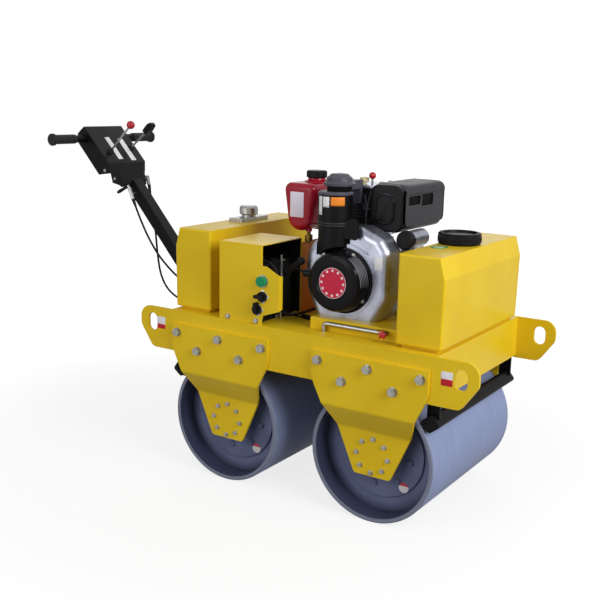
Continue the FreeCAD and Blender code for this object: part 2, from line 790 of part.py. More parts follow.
def make_breather():
    """Breather cap of the oil tank on a bolted rectangular flange."""
    body = new_body("hydraulic_tank_cap")
    plate = new_sketch(body, "XY", "tank_top", "breather_x", "breather_y")
    loop(plate, (("-30", "-80"), ("30", "-80"), ("30", "80"), ("-30", "80")))
    pad(body, plate, "14")
    soften(body, "6", along("z"))
    knob = new_sketch(body, "XZ", "-breather_y", "breather_x")
    loop(knob, (
        ("0", "tank_top + 5"),
        ("25", "tank_top + 5"),
        ("25", "tank_top + 20"),
        ("breather_dia / 2 - 2", "tank_top + 22"),
        ("breather_dia / 2", "tank_top + 26"),
        ("breather_dia / 2", "tank_top + 46"),
        ("breather_dia / 2 - 5", "tank_top + 53"),
        ("0", "tank_top + 53"),
    ))
    turned(body, knob)
    return keep(body)


# ---------------------------------------------------------------- battery box
def make_battery_box():
    """Folded sheet box, open to the front, its outer panel carrying a forward switch tab."""
    body = new_body("battery_box")
    outer = new_sketch(body, "XZ", "box_near - sheet")
    loop(outer, (
        # (forward, height)
        ("box_back", "plate_top"),
        ("box_front", "plate_top"),
        ("box_front + 6", "603"),
        ("-55", "624"),
        ("-58", "741"),
        ("-103", "764"),
        ("box_front", "764"),
        ("box_front", "box_top"),
        ("box_back", "box_top"),
    ))
    pad(body, outer, "sheet")
    walls = new_sketch(body, "XY", "plate_top")
    inside = "-box_near + sheet"
    loop(walls, (
        # (forward, sideways)
        ("box_front", inside),
        ("box_back", inside),
        ("box_back", "box_far"),
        ("box_front", "box_far"),
        ("box_front", "box_far - sheet"),
        ("box_back + sheet", "box_far - sheet"),
        ("box_back + sheet", "-box_near + 2 * sheet"),
        ("box_front", "-box_near + 2 * sheet"),
    ))
    pad(body, walls, "box_top - plate_top")
    lid = new_sketch(body, "XY", "box_top - sheet")
    loop(lid, (
        ("box_back", inside),
        ("box_front", inside),
        ("box_front", "box_far"),
        ("box_back", "box_far"),
    ))
    pad(body, lid, "sheet")
    lip = new_sketch(body, "YZ", "-58")
    loop(lip, (
        ("-box_near", "624"),
        ("-box_near + 22", "628"),
        ("-box_near + 22", "734"),
        ("-box_near", "741"),
    ))
    pad(body, lip, "sheet")
    return keep(body)


def make_battery():
    """Starter battery: case, raised lid and two posts."""
    body = new_body("battery")
    case = new_sketch(body, "XY", "plate_top")
    loop(case, (("-276", "-300"), ("-142", "-300"), ("-142", "-104"), ("-276", "-104")))
    pad(body, case, "175")
    soften(body, "5", along("z"))
    lid = new_sketch(body, "XY", "plate_top + 175")
    loop(lid, (("-273", "-297"), ("-145", "-297"), ("-145", "-107"), ("-273", "-107")))
    pad(body, lid, "18")
    posts = new_sketch(body, "XY", "plate_top + 193")
    for place in ("-278", "-126"):
        ring(posts, "-165", place, "18")
    pad(body, posts, "16")
    return keep(body)


def make_battery_clamp():
    """Hold-down angle over the battery's lid with its long hook bolt to the deck."""
    bolt = round_bar("battery_clamp_bolt", "z", ("-128", "-200", "plate_top"), "212", "9")
    strap = block("battery_clamp_strap", ("-160", "-121"), ("-212", "-188"),
                  ("plate_top + 193", "plate_top + 198"))
    return keep(fused("battery_clamp", bolt, strap))


def make_panel_controls():
    """Start button and two rotary switches on the battery box's outer panel."""
    button = round_bar("start_button", "y", ("-117", "-box_near - 15", "716"), "15", "34")
    keep(button, "-117")
    switches = []
    rows = (
        # (name, forward, height, reach of its pointer forward and up)
        ("key_switch", "-116", "666", ("-24", "9"), ("-5", "5")),
        ("lamp_switch", "-136", "622", ("-5", "5"), ("-9", "24")),
    )
    for name, forward, up, across, tall in rows:
        knob = round_bar(f"{name}_knob", "y", (forward, "-box_near - 9", up), "9", "34")
        pointer = block(f"{name}_pointer", [f"{forward} + ({end})" for end in across],
                        ("-box_near - 20", "-box_near"), [f"{up} + ({end})" for end in tall])
        switches.append(fused(name, knob, pointer))
    return keep(group("panel_switches", *switches))


# ---------------------------------------------------------------- engine
def make_engine_bed():
    """Raised folded tray that the engine is bolted to."""
    body = new_body("engine_bed")
    sketch = new_sketch(body, "XY", "plate_top")
    loop(sketch, (
        ("bed_back", "bed_near"),
        ("bed_front", "bed_near"),
        ("bed_front", "bed_far"),
        ("bed_back", "bed_far"),
    ))
    pad(body, sketch, "bed_top - plate_top")
    soften(body, "5", every(lambda edge: edge.CenterOfMass.z > number("plate_top + 1")))
    return keep(body)


def make_crankcase():
    """Crankcase with its feet and the finned barrel of the cylinder above it."""
    body = new_body("crankcase")
    sketch = new_sketch(body, "XZ", "-case_far")
    half = (
        # (forward from the crankshaft, height)
        ("112", "bed_top"),
        ("112", "bed_top + 16"),
        ("84", "bed_top + 22"),
        ("98", "690"),
        ("98", "790"),
        ("78", "case_top"),
    )
    right = [(f"crank_x + {x}", z) for x, z in half]
    left = [(f"crank_x - {x}", z) for x, z in half[::-1]]
    loop(sketch, [*right, *left])
    pad(body, sketch, "case_far - case_near")
    barrel = new_sketch(body, "XY", "case_top - 4", "head_x", "-17")
    loop(barrel, (("-52", "-60"), ("52", "-60"), ("52", "60"), ("-52", "60")))
    pad(body, barrel, "head_low - case_top + 4")
    fin = new_sketch(body, "XY", "case_top + 8", "head_x", "-17")
    loop(fin, (("-62", "-74"), ("62", "-74"), ("62", "74"), ("-62", "74")))
    first = pad(body, fin, "fin_wall")
    repeat_along(body, first, "Z", "4 * fin_step", 5)
    return keep(body)


def make_head():
    """Finned cylinder head with its rocker cover."""
    body = new_body("cylinder_head")
    core = new_sketch(body, "XY", "head_low", "head_x", "-17")
    loop(core, (("-50", "-62"), ("50", "-62"), ("50", "62"), ("-50", "62")))
    pad(body, core, "head_top - head_low")
    fin = new_sketch(body, "XY", "head_low + 6", "head_x", "-17")
    loop(fin, (("-64", "-78"), ("64", "-78"), ("64", "78"), ("-64", "78")))
    first = pad(body, fin, "fin_wall")
    repeat_along(body, first, "Z", "5 * fin_step", 6)
    port = new_sketch(body, "YZ", "head_x + 50")
    ring(port, "-17", "(muffler_low + muffler_top) / 2", "46")
    pad(body, port, "18")
    cover = new_sketch(body, "XY", "head_top", "head_x", "-17")
    loop(cover, (("-48", "-58"), ("48", "-58"), ("48", "58"), ("-48", "58")))
    pad(body, cover, "26")
    soften(body, "7", every(beyond("z", "head_top + 25")))
    return keep(body)


def make_shroud():
    """Volute cast round the flywheel: a full front edge, a lip and a hollow for the cleaner."""
    body = new_body("blower_shroud")
    sketch = new_sketch(body, "XZ", "-case_near", "crank_x", "crank_z")
    rounded(sketch, (
        # (forward and up from the crankshaft, corner radius)
        ("-106", "-121", "0"),
        ("118", "-121", "0"),
        ("153", "-48", "70"),
        ("153", "100", "45"),
        ("122", "142", "40"),
        ("52", "170", "30"),
        ("-4", "166", "60"),
        ("-60", "148", "100"),
        ("-122", "112", "60"),
        ("-150", "58", "140"),
        ("-141", "-45", "140"),
    ))
    pad(body, sketch, "case_near - shroud_face")
    soften(body, "26", every(beyond("y", "shroud_face + 1", -1), beyond("z", "crank_z - 120")))
    lip = new_sketch(body, "XZ", "-shroud_face", "crank_x", "crank_z")
    ring(lip, "0", "0", "recoil_dia + 18")
    ring(lip, "0", "0", "recoil_dia + 3")
    pad(body, lip, "3")
    nest = new_sketch(body, "XY", "cleaner_low - 4")
    ring(nest, "cleaner_x", "cleaner_y", "cleaner_dia + 8")
    pocket(body, nest, "200", "up")
    step = new_sketch(body, "XZ", "-shroud_face", "crank_x", "crank_z")
    loop(step, (
        ("8", "190"),
        ("64", "190"),
        ("66", "150"),
        ("88", "84"),
        ("62", "98"),
        ("30", "112"),
        ("8", "116"),
    ))
    pocket(body, step, "12", "down")
    return keep(body)


def make_recoil():
    """Recoil starter cover: drawn drum with a flat face, louvres round its sides, rope guide."""
    body = new_body("recoil_starter")
    sketch = new_sketch(body, "XY", "crank_z", "crank_x")
    rim = "recoil_dia / 2"
    loop(sketch, (
        # (radius, sideways)
        ("0", "shroud_face"),
        (rim, "shroud_face"),
        (rim, "shroud_face - 6"),
        (f"{rim} - 5", "shroud_face - 8"),
        (f"{rim} - 12", "recoil_face + 16"),
        (f"{rim} - 18", "recoil_face + 5"),
        (f"{rim} - 30", "recoil_face"),
        ("56", "recoil_face"),
        ("54", "recoil_face + 2.5"),
        ("0", "recoil_face + 2.5"),
    ))
    turned(body, sketch)
    louvres = new_sketch(body, "XY", "crank_z", "crank_x")
    for side in ("", "-"):
        for place in range(6):
            deep = f"shroud_face - 13 - {place} * 7"
            loop(louvres, (
                (f"{side}({rim} - 11 - {place})", deep),
                (f"{side}({rim} + 3)", deep),
                (f"{side}({rim} + 3)", f"{deep} - 3.5"),
                (f"{side}({rim} - 11 - {place})", f"{deep} - 3.5"),
            ))
    grooved(body, louvres, "96")
    guide = new_sketch(body, "YZ", "crank_x - 122")
    ring(guide, "shroud_face - 34", "crank_z + 14", "24")
    pad(body, guide, "50")
    return keep(body)


def make_recoil_grip():
    """Pull grip of the recoil starter on its rope, parked against the guide."""
    guide = FreeCAD.Vector(number("crank_x - 122"), number("shroud_face - 34"),
                           number("crank_z + 14"))
    low = FreeCAD.Vector(-86, guide.y + 12, 735)
    high = FreeCAD.Vector(-20, guide.y + 12, 785)
    bar = Part.makeCylinder(11, (high - low).Length, low, high - low)
    ends = [Part.makeSphere(13, low + (high - low) * share) for share in (0.1, 0.9)]
    middle = (low + high) / 2
    rope = Part.makeCylinder(3.5, (guide - middle).Length, middle, guide - middle)
    clear = Part.makeBox(60, 60, 60, guide - FreeCAD.Vector(0, 30, 30))
    piece = doc.addObject("Part::Feature", "recoil_grip")
    piece.Shape = bar.fuse([*ends, rope]).cut(clear)
    return keep(piece)


def make_air_cleaner():
    """Upright air cleaner can with a clamped joint band and its bracket on the shroud."""
    body = new_body("air_cleaner")
    sketch = new_sketch(body, "XZ", "-cleaner_y", "cleaner_x")
    wall = "cleaner_dia / 2"
    loop(sketch, (
        ("0", "cleaner_low"),
        (f"{wall} - 9", "cleaner_low"),
        (f"{wall} - 2", "cleaner_low + 8"),
        (f"{wall} - 2", "900"),
        (f"{wall} + 1", "902"),
        (f"{wall} + 1", "905"),
        (f"{wall} - 2", "907"),
        (f"{wall} + 1", "909"),
        (f"{wall} + 1", "912"),
        (wall, "914"),
        (wall, "cleaner_top - 6"),
        (f"{wall} - 6", "cleaner_top"),
        ("0", "cleaner_top"),
    ))
    turned(body, sketch)
    notch = new_sketch(body, "XZ", "-shroud_face - 3")
    ring(notch, "crank_x", "crank_z", "recoil_dia + 5")
    pocket(body, notch, "60", "up")
    strap = new_sketch(body, "XZ", "-shroud_face")
    loop(strap, (("100", "868"), ("160", "862"), ("168", "874"), ("168", "918"), ("150", "927"),
                 ("100", "912")))
    pad(body, strap, "8")
    return keep(body)


def make_intake():
    """Domed air intake on the cleaner with its duct to the cylinder head."""
    body = new_body("intake_duct")
    dome = new_sketch(body, "XZ", "-cleaner_y - 8", "cleaner_x + 8")
    loop(dome, (
        # (radius, height)
        ("0", "cleaner_top"),
        ("38", "cleaner_top"),
        ("38", "cleaner_top + 15"),
        ("49", "cleaner_top + 18"),
        ("50", "cleaner_top + 25"),
        ("43", "cleaner_top + 31"),
        ("39", "cleaner_top + 43"),
        ("26", "cleaner_top + 54"),
        ("0", "cleaner_top + 57"),
    ))
    turned(body, dome)
    duct = new_sketch(body, "XZ", "-cleaner_y", "cleaner_x + 14", "cleaner_top + 18")
    loop(duct, (("-22", "-14"), ("22", "-14"), ("22", "14"), ("-22", "14")))
    pad(body, duct, "-cleaner_y - 96", "down")
    elbow = new_sketch(body, "XZ", "96", "cleaner_x + 14", "cleaner_top + 18")
    loop(elbow, (("-22", "-60"), ("22", "-60"), ("22", "14"), ("-22", "14")))
    pad(body, elbow, "16")
    return keep(body)


def make_fuel_tank():
    """Pressed fuel tank with full edges, narrowing to its bottom, and its filler neck."""
    body = new_body("fuel_tank")
    sketch = new_sketch(body, "XZ", "-fuel_far")
    rounded(sketch, (
        # (forward, height, corner radius)
        ("fuel_back + 20", "fuel_low", "44"),
        ("fuel_front - 20", "fuel_low", "44"),
        ("fuel_front", "fuel_top - 30", "60"),
        ("fuel_front", "fuel_top", "24"),
        ("fuel_back", "fuel_top", "24"),
        ("fuel_back", "fuel_top - 30", "60"),
    ))
    pad(body, sketch, "fuel_far - fuel_near")
    soften(body, "20", every(lambda edge: not along("y")(edge)))
    neck = new_sketch(body, "XZ", "50", "(fuel_back + fuel_front) / 2 + 10")
    loop(neck, (
        ("0", "fuel_top - 4"),
        ("44", "fuel_top - 4"),
        ("40", "fuel_top + 3"),
        ("30", "fuel_top + 7"),
        ("28", "fuel_top + 13"),
        ("0", "fuel_top + 13"),
    ))
    turned(body, neck)
    boss = new_sketch(body, "XY", "fuel_low - 2")
    ring(boss, "-80", "-112", "22")
    pad(body, boss, "20")
    return keep(body)


def make_fuel_cap():
    """Filler cap of the fuel tank on its neck."""
    body = new_body("fuel_tank_cap")
    sketch = new_sketch(body, "XZ", "50", "(fuel_back + fuel_front) / 2 + 10")
    loop(sketch, (
        ("0", "fuel_top + 13"),
        ("31", "fuel_top + 13"),
        ("34.5", "fuel_top + 16"),
        ("34.5", "fuel_top + 33"),
        ("31", "fuel_top + 37"),
        ("0", "fuel_top + 37"),
    ))
    turned(body, sketch)
    return keep(body)


def make_fuel_bracket():
    """Bracket that carries the fuel tank on the side of the crankcase."""
    body = new_body("fuel_tank_bracket")
    sketch = new_sketch(body, "XZ", "-30")
    side = "crank_x - 98"
    loop(sketch, (
        ("fuel_back + 34", "fuel_low - 6"),
        ("fuel_front - 34", "fuel_low - 6"),
        (side, "768"),
        (side, "786"),
        ("fuel_front - 28", "fuel_low"),
        ("fuel_back + 34", "fuel_low"),
    ))
    pad(body, sketch, "60")
    return keep(body)


def make_fuel_cock():
    """Fuel cock under the tank."""
    spot = ("-80", "-112", "fuel_low - 42")
    stem = round_bar("fuel_cock_stem", "z", spot, "40", "14")
    bowl = round_bar("fuel_cock_bowl", "z", ("-80", "-112", "fuel_low - 34"), "20", "26")
    return keep(fused("fuel_cock", stem, bowl))


def make_muffler():
    """Box muffler with rounded shell, raised end panel and its exhaust stub to the head."""
    body = new_body("muffler")
    sketch = new_sketch(body, "XZ", "-muffler_far")
    loop(sketch, (
        ("muffler_back", "muffler_low"),
        ("muffler_front", "muffler_low"),
        ("muffler_front", "muffler_top"),
        ("muffler_back", "muffler_top"),
    ))
    pad(body, sketch, "muffler_far - muffler_near")
    soften(body, "28", along("y"))
    soften(body, "7", every(lambda edge: not along("y")(edge)))
    panel = new_sketch(body, "XZ", "-muffler_near")
    rounded(panel, (
        ("muffler_back + 23", "muffler_low + 23", "30"),
        ("muffler_front - 26", "muffler_low + 23", "30"),
        ("muffler_front - 26", "muffler_top - 26", "30"),
        ("muffler_back + 23", "muffler_top - 26", "30"),
    ))
    pad(body, panel, "5")
    soften(body, "3", beyond("y", "muffler_near - 4", -1))
    stub = new_sketch(body, "YZ", "head_x + 68")
    ring(stub, "-17", "(muffler_low + muffler_top) / 2", "34")
    pad(body, stub, "muffler_back - head_x - 60")
    return keep(body)


def make_heat_shield():
    """Heat shield with two windows on the muffler's front side, standing on two spacers."""
    body = new_body("muffler_heat_shield")
    middle = "(muffler_low + muffler_top) / 2"
    sketch = new_sketch(body, "YZ", "muffler_front + 6")
    rounded(sketch, (
        ("muffler_near + 8", "muffler_low + 22", "16"),
        ("muffler_far - 8", "muffler_low + 22", "16"),
        ("muffler_far - 8", "muffler_top - 12", "16"),
        ("muffler_near + 8", "muffler_top - 12", "16"),
    ))
    windows = (
        # (sideways from, to, up from the muffler's middle, to)
        ("-104", "-24", "11", "39"),
        ("-14", "66", "4", "41"),
    )
    for low, high, bottom, top in windows:
        rounded(sketch, (
            (low, f"{middle} + {bottom}", "6"),
            (high, f"{middle} + {bottom}", "6"),
            (high, f"{middle} + {top}", "6"),
            (low, f"{middle} + {top}", "6"),
        ))
    pad(body, sketch, "2")
    feet = new_sketch(body, "YZ", "muffler_front")
    for place in ("muffler_near + 60", "muffler_far - 60"):
        ring(feet, place, "muffler_low + 40", "12")
    pad(body, feet, "7")
    return keep(body)


def make_starter():
    """Electric starter: motor barrel on its mounting flange, and its end cap."""
    body = new_body("starter_motor")
    sketch = new_sketch(body, "XY", "starter_z", "starter_x")
    loop(sketch, (
        # (radius, sideways)
        ("0", "-127"),
        ("starter_dia / 2 - 2", "-127"),
        ("starter_dia / 2 - 2", "-30"),
        ("starter_dia / 2 - 8", "-22"),
        ("0", "-22"),
    ))
    turned(body, sketch)
    foot = new_sketch(body, "XZ", "60")
    loop(foot, (
        ("crank_x + 98", "758"),
        ("crank_x + 98", "788"),
        ("starter_x - 22", "starter_z - 10"),
        ("starter_x + 8", "starter_z - 22"),
    ))
    pad(body, foot, "10")
    keep(body)
    cap = new_body("starter_end_cap")
    outline = new_sketch(cap, "XY", "starter_z", "starter_x")
    loop(outline, (
        ("0", "-150"),
        ("starter_dia / 2 - 6", "-150"),
        ("starter_dia / 2", "-145"),
        ("starter_dia / 2", "-127"),
        ("0", "-127"),
    ))
    turned(cap, outline)
    return keep(cap)


def make_lever():
    """Decompression lever on the rocker cover with its ball knob."""
    spot_x = "head_x + 38"
    base = round_bar("decompression_base", "z", (spot_x, "-60", "head_top + 26"), "8", "20")
    stalk = round_bar("decompression_stalk", "z", (spot_x, "-60", "head_top + 30"), "22.5", "7")
    keep(fused("decompression_lever", base, stalk))
    ball = doc.addObject("Part::Sphere", "decompression_knob")
    drive(ball, "Radius", "11.5")
    drive(ball, "Placement.Base.y", "-60")
    drive(ball, "Placement.Base.z", "head_top + 64")
    return keep(ball, spot_x)


def make_pump():
    """Hydraulic pump on its bell housing at the engine's drive end."""
    body = new_body("hydraulic_pump")
    sketch = new_sketch(body, "XY", "crank_z", "crank_x")
    loop(sketch, (
        # (radius, sideways)
        ("0", "case_far"),
        ("88", "case_far"),
        ("88", "case_far + 12"),
        ("70", "case_far + 16"),
        ("58", "case_far + 68"),
        ("80", "case_far + 70"),
        ("80", "case_far + 80"),
        ("0", "case_far + 80"),
    ))
    turned(body, sketch)
    pump = new_sketch(body, "XZ", "-(case_far + 80)", "crank_x", "crank_z")
    loop(pump, (("-44", "-52"), ("44", "-52"), ("44", "58"), ("-44", "58")))
    pad(body, pump, "pump_far - case_far - 80", "down")
    soften(body, "10", every(along("y"), beyond("y", "case_far + 81")))
    return keep(body)


def make_drain():
    """Oil drain pipe from the deck along the engine bed, with its valve and star knob."""
    pipe = tube("oil_drain_pipe", ((84, -268, 573), (84, -268, 600), (290, -268, 600)), "14")
    body = block("oil_drain_valve_body", ("290", "312"), ("-280", "-257"), ("589", "611"))
    knob = round_bar("oil_drain_knob", "y", ("301", "-294", "600"), "14", "28")
    return keep(pipe), keep(fused("oil_drain_valve", body, knob))


# ---------------------------------------------------------------- handle
# Boom coordinates: along the boom from the pivot, and square to it on its upper front side.
def boom_point(run, out):
    """(X, Z) expressions of a point given by its run up the boom and its distance out."""
    return (f"pivot_x - ({run}) * cos(boom_slope) + ({out}) * sin(boom_slope)",
            f"pivot_z + ({run}) * sin(boom_slope) + ({out}) * cos(boom_slope)")


def make_bracket():
    """Fork on the rear cross beam with the pivot pin and the bar that the boom rests on."""
    lugs = new_body("handle_bracket_lugs")
    sketch = new_sketch(lugs, "XZ")
    rear = "-deck_end - beam_wall"
    loop(sketch, (
        (rear, "beam_low + 12"),
        (rear, "plate_top - 10"),
        ("pivot_x + 6", "pivot_z + 30"),
        ("pivot_x - 44", "pivot_z + 26"),
        ("pivot_x - 60", "pivot_z + 16"),
        ("pivot_x - 60", "pivot_z - 6"),
        ("pivot_x - 20", "pivot_z - 34"),
    ))
    pad(lugs, sketch, "2 * (lug_gap + lug_wall)", "both")
    soften(lugs, "8", every(along("y"), beyond("x", f"{rear} - 2", -1)))
    gap = new_sketch(lugs, "XZ")
    loop(gap, (
        (f"{rear} - 8", "beam_low"),
        (f"{rear} - 8", "plate_top + 20"),
        ("pivot_x - 90", "plate_top + 20"),
        ("pivot_x - 90", "beam_low"),
    ))
    pocket(lugs, gap, "2 * lug_gap")
    pin = round_bar("handle_pin", "y", ("pivot_x", "-lug_gap - lug_wall - 6", "pivot_z"),
                    "2 * (lug_gap + lug_wall + 6)", "pin_dia")
    stop_x, stop_z = boom_point("36", "-boom_half - 8.4")
    stop = round_bar("handle_stop", "y", (stop_x, "-lug_gap", stop_z), "2 * lug_gap", "16")
    return keep(fused("handle_bracket", lugs, pin, stop))


def make_boom():
    """Square-tube boom, its lower end rounded about the pivot and bushed for the pin."""
    body = new_body("boom")
    sketch = new_sketch(body, "XZ")
    half = "boom_half"
    loop(sketch, (
        boom_point(f"-({half})", half),
        boom_point("boom_run", half),
        boom_point("boom_run", f"-({half})"),
        boom_point(f"-({half})", f"-({half})"),
    ))
    pad(body, sketch, "2 * boom_half", "both")
    soften(body, "18", every(along("y"), beyond("z", "pivot_z + 60", -1)))
    bush = new_sketch(body, "XZ", "0", "pivot_x", "pivot_z")
    ring(bush, "0", "0", "36")
    pad(body, bush, "2 * (lug_gap - 0.5)", "both")
    bore = new_sketch(body, "XZ", "0", "pivot_x", "pivot_z")
    ring(bore, "0", "0", "pin_dia + 0.6")
    pocket(body, bore)
    hollow = new_sketch(body, "XZ")
    inner = "boom_half - boom_wall"
    loop(hollow, (
        boom_point("40", inner),
        boom_point("boom_run + 20", inner),
        boom_point("boom_run + 20", f"-({inner})"),
        boom_point("40", f"-({inner})"),
    ))
    pocket(body, hollow, f"2 * ({inner})")
    return keep(body)


def make_console():
    """Folded sheet console, open underneath, narrowing to a nose that holds the boom."""
    body = new_body("console")
    sketch = new_sketch(body, "XZ")
    loop(sketch, (
        # (forward, height) round the side of the console
        ("console_rear", "console_top"),
        ("console_rear + 128", "console_top - 135"),
        ("-954", "948"),
        ("-968", "940"),
        ("-992", "956"),
        ("-996", "992"),
        ("-1052", "984"),
        ("-1162", "1104"),
        ("-1161", "1137"),
    ))
    pad(body, sketch, "2 * console_half", "both")
    sides = new_sketch(body, "XY")
    for side in ("", "-"):
        loop(sides, (
            ("-1000", f"{side}(console_half + 8)"),
            ("-1000", f"{side}console_half"),
            ("-978", f"{side}69"),
            ("-962", f"{side}66"),
            ("-954", f"{side}47"),
            ("-930", f"{side}47"),
            ("-930", f"{side}(console_half + 8)"),
        ))
    pocket(body, sides)
    hollow = new_sketch(body, "XZ")
    loop(hollow, (
        ("-1127", "1159"),
        ("-1008", "1033.5"),
        ("-1004", "1020"),
        ("-1004", "960"),
        ("-1060", "950"),
        ("-1170", "1080"),
        ("-1157", "1136"),
    ))
    pocket(body, hollow, "2 * (console_half - sheet)")
    bar = new_sketch(body, "XZ")
    ring(bar, "bar_x", "bar_z", "bar_dia")
    pocket(body, bar)
    seat = new_sketch(body, "XZ")
    loop(seat, (
        boom_point("500", "boom_half"),
        boom_point("boom_run", "boom_half"),
        boom_point("boom_run", "-boom_half"),
        boom_point("500", "-boom_half"),
    ))
    pocket(body, seat, "2 * boom_half")
    return keep(body)


def make_handlebar():
    """Handlebar tube through the console, with a grip on each end."""
    bar_run = "bar_half - grip_run"
    bar = round_bar("handlebar", "y", ("bar_x", f"-({bar_run})", "bar_z"),
                    f"2 * ({bar_run})", "bar_dia")
    keep(bar, "bar_x")
    grips = []
    for word, side in SIDES:
        body = new_body(f"{word}_grip")
        sketch = new_sketch(body, "XY", "bar_z", "bar_x")
        rows = (
            # (radius, distance out from the console)
            ("0", bar_run),
            ("grip_dia / 2 - 1", bar_run),
            ("grip_dia / 2", f"{bar_run} + 4"),
            ("grip_dia / 2", "bar_half - 14"),
            ("grip_dia / 2 + 5", "bar_half - 12"),
            ("grip_dia / 2 + 5", "bar_half - 4"),
            ("grip_dia / 2 + 1", "bar_half"),
            ("0", "bar_half"),
        )
        loop(sketch, [(radius, f"{-side} * ({out})") for radius, out in rows])
        turned(body, sketch)
        grips.append(body)
    return keep(group("handle_grips", *grips))


def make_levers():
    """Travel and throttle levers on collars square to the console, each with its knob."""
    plate_turn = FreeCAD.Vector(135, 0, 128).normalize()
    rows = (
        # (name, foot forward, sideways, end of the rod)
        ("travel_rod", -1039, -50, (-941.25, -50, 1164.25)),
        ("throttle_rod", -1047, 70, (-968.1, 70, 1142.92)),
    )
    rods = []
    for name, forward, sideways, tip in rows:
        up = number("console_top") - (forward - number("console_rear")) * 135 / 128
        foot = FreeCAD.Vector(forward, sideways, up)
        collar = Part.makeCylinder(10, 6, foot, plate_turn)
        start = foot + plate_turn * 4
        reach = FreeCAD.Vector(*tip) - start
        solid = doc.addObject("Part::Feature", name)
        solid.Shape = collar.fuse(Part.makeCylinder(4, reach.Length, start, reach))
        rods.append(solid)
    keep(group("control_levers", *rods))
    ball = doc.addObject("Part::Sphere", "travel_knob")
    drive(ball, "Radius", "15.5")
    drive(ball, "Placement.Base.y", "-50")
    drive(ball, "Placement.Base.z", "1175")
    keep(ball, "-930")
    wing = new_body("throttle_knob")
    sketch = new_sketch(wing, "XZ", "-70")
    rounded(sketch, (
        # (forward, height, corner radius)
        ("-975", "1151.5", "3"),
        ("-961", "1134.5", "3"),
        ("-938", "1150", "14"),
        ("-921", "1172", "6"),
        ("-933", "1184", "6"),
        ("-951", "1176", "12"),
    ))
    pad(wing, sketch, "20", "both")
    return keep(wing)


# ---------------------------------------------------------------- cables
RIGHT_CABLE = (
    (-920, -55, 897), (-902, -57, 862), (-875, -58, 812), (-838, -60, 754), (-790, -62, 697),
    (-733, -64, 650), (-668, -65, 609), (-604, -65, 578), (-546, -65, 560), (-497, -65, 560),
)
LEFT_CABLE = (
    (-952, 70, 940), (-932, 57, 902), (-914, 50, 850), (-902, 46, 790), (-894, 44, 728),
    (-889, 46, 664), (-880, 50, 596), (-852, 55, 540), (-802, 60, 507), (-742, 63, 489),
    (-674, 65, 484), (-607, 66, 493), (-548, 66, 508), (-497, 66, 508),
)
BATTERY_CABLE = (
    (-156, -278, 774), (-118, -278, 774), (-92, -277, 746), (-88, -273, 700),
    (-92, -262, 645), (-98, -236, 602), (-94, -190, 584), (-74, -144, 588),
    (-38, -112, 606), (4.3, -98.5, 617.6),
)


def make_adjuster(name, route, length, root, root_turn, reach):
    """Cable adjuster in line with a cable's first run, on a stud from its root."""
    start = FreeCAD.Vector(*route[0])
    back = (start - FreeCAD.Vector(*route[1])).normalize()
    sleeve = Part.makeCylinder(7, length, start, back)
    stud = Part.makeCylinder(4, reach, FreeCAD.Vector(*root), FreeCAD.Vector(*root_turn))
    solid = doc.addObject("Part::Feature", name)
    solid.Shape = sleeve.fuse(stud)
    return solid


def make_adjusters():
    """The two cable adjusters, one beside the boom and one beside the console."""
    right = make_adjuster("right_adjuster", RIGHT_CABLE, 56,
                          (-931, -number("boom_half"), 916), (0, -1, 0), 28)
    left = make_adjuster("left_adjuster", LEFT_CABLE, 40, (-972.4, 70.95, 962), (54, 46, 0), 12)
    return keep(group("cable_adjusters", right, left))


def make_cables():
    """Control cables from the console to the rear cross beam, and the battery's cable."""
    for name, route in (("right_cable", RIGHT_CABLE), ("left_cable", LEFT_CABLE)):
        keep(tube(name, route, "cable_dia"))
    keep(tube("battery_cable", BATTERY_CABLE, "cable_dia + 1"))


# ---------------------------------------------------------------- assembly
def build():
    """Make every piece of the roller."""
    for end, ahead in ENDS:
        make_drum(end, ahead)
    for word, side in SIDES:
        make_side_plate(word, side)
    make_cross_beams()
    make_yokes()
    make_yoke_bolts()
    make_deck()
    make_hubs()
    make_scrapers()
    make_tank("water_tank", 1)
    make_tank("hydraulic_tank", -1)
    make_water_cap()
    make_breather()
    make_battery_box()
    make_battery()
    make_battery_clamp()
    make_panel_controls()
    make_engine_bed()
    make_crankcase()
    make_head()
    make_shroud()
    make_recoil()
    make_recoil_grip()
    make_air_cleaner()
    make_intake()
    make_fuel_tank()
    make_fuel_cap()
    make_fuel_bracket()
    make_fuel_cock()
    make_muffler()
    make_heat_shield()
    make_starter()
    make_lever()
    make_pump()
    make_drain()
    make_bracket()
    make_boom()
    make_console()
    make_handlebar()
    make_levers()
    make_adjusters()
    make_cables()


def check():
    """Stop where an object failed or a piece has no sound solid."""
    doc.recompute()
    for item in doc.Objects:
        if {"Invalid", "Error"} & set(item.State):
            raise RuntimeError(f"{item.Label} failed: {item.State}")
    for piece in PIECES:
        if piece.Shape.isNull() or not piece.Shape.isValid() or not piece.Shape.Solids:
            raise RuntimeError(f"{piece.Label} has no sound solid")


def export():
    """Write one STEP file for each piece."""
    os.makedirs("parts", exist_ok=True)
    for piece in PIECES:
        piece.Shape.exportStep(f"parts/{piece.Label}.step")


build()
check()
export()
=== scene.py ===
"""Walk-behind roller with two steel drums: materials, cables, fastenings, trim and camera.

The frame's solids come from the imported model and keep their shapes. Places and sizes below are
in millimetres in the frame's axes, X forward, Y to the machine's left, Z up, and become metres
where a mesh is made.
"""
import json
import math
import bpy
import numpy as np
from mathutils import Matrix, Vector


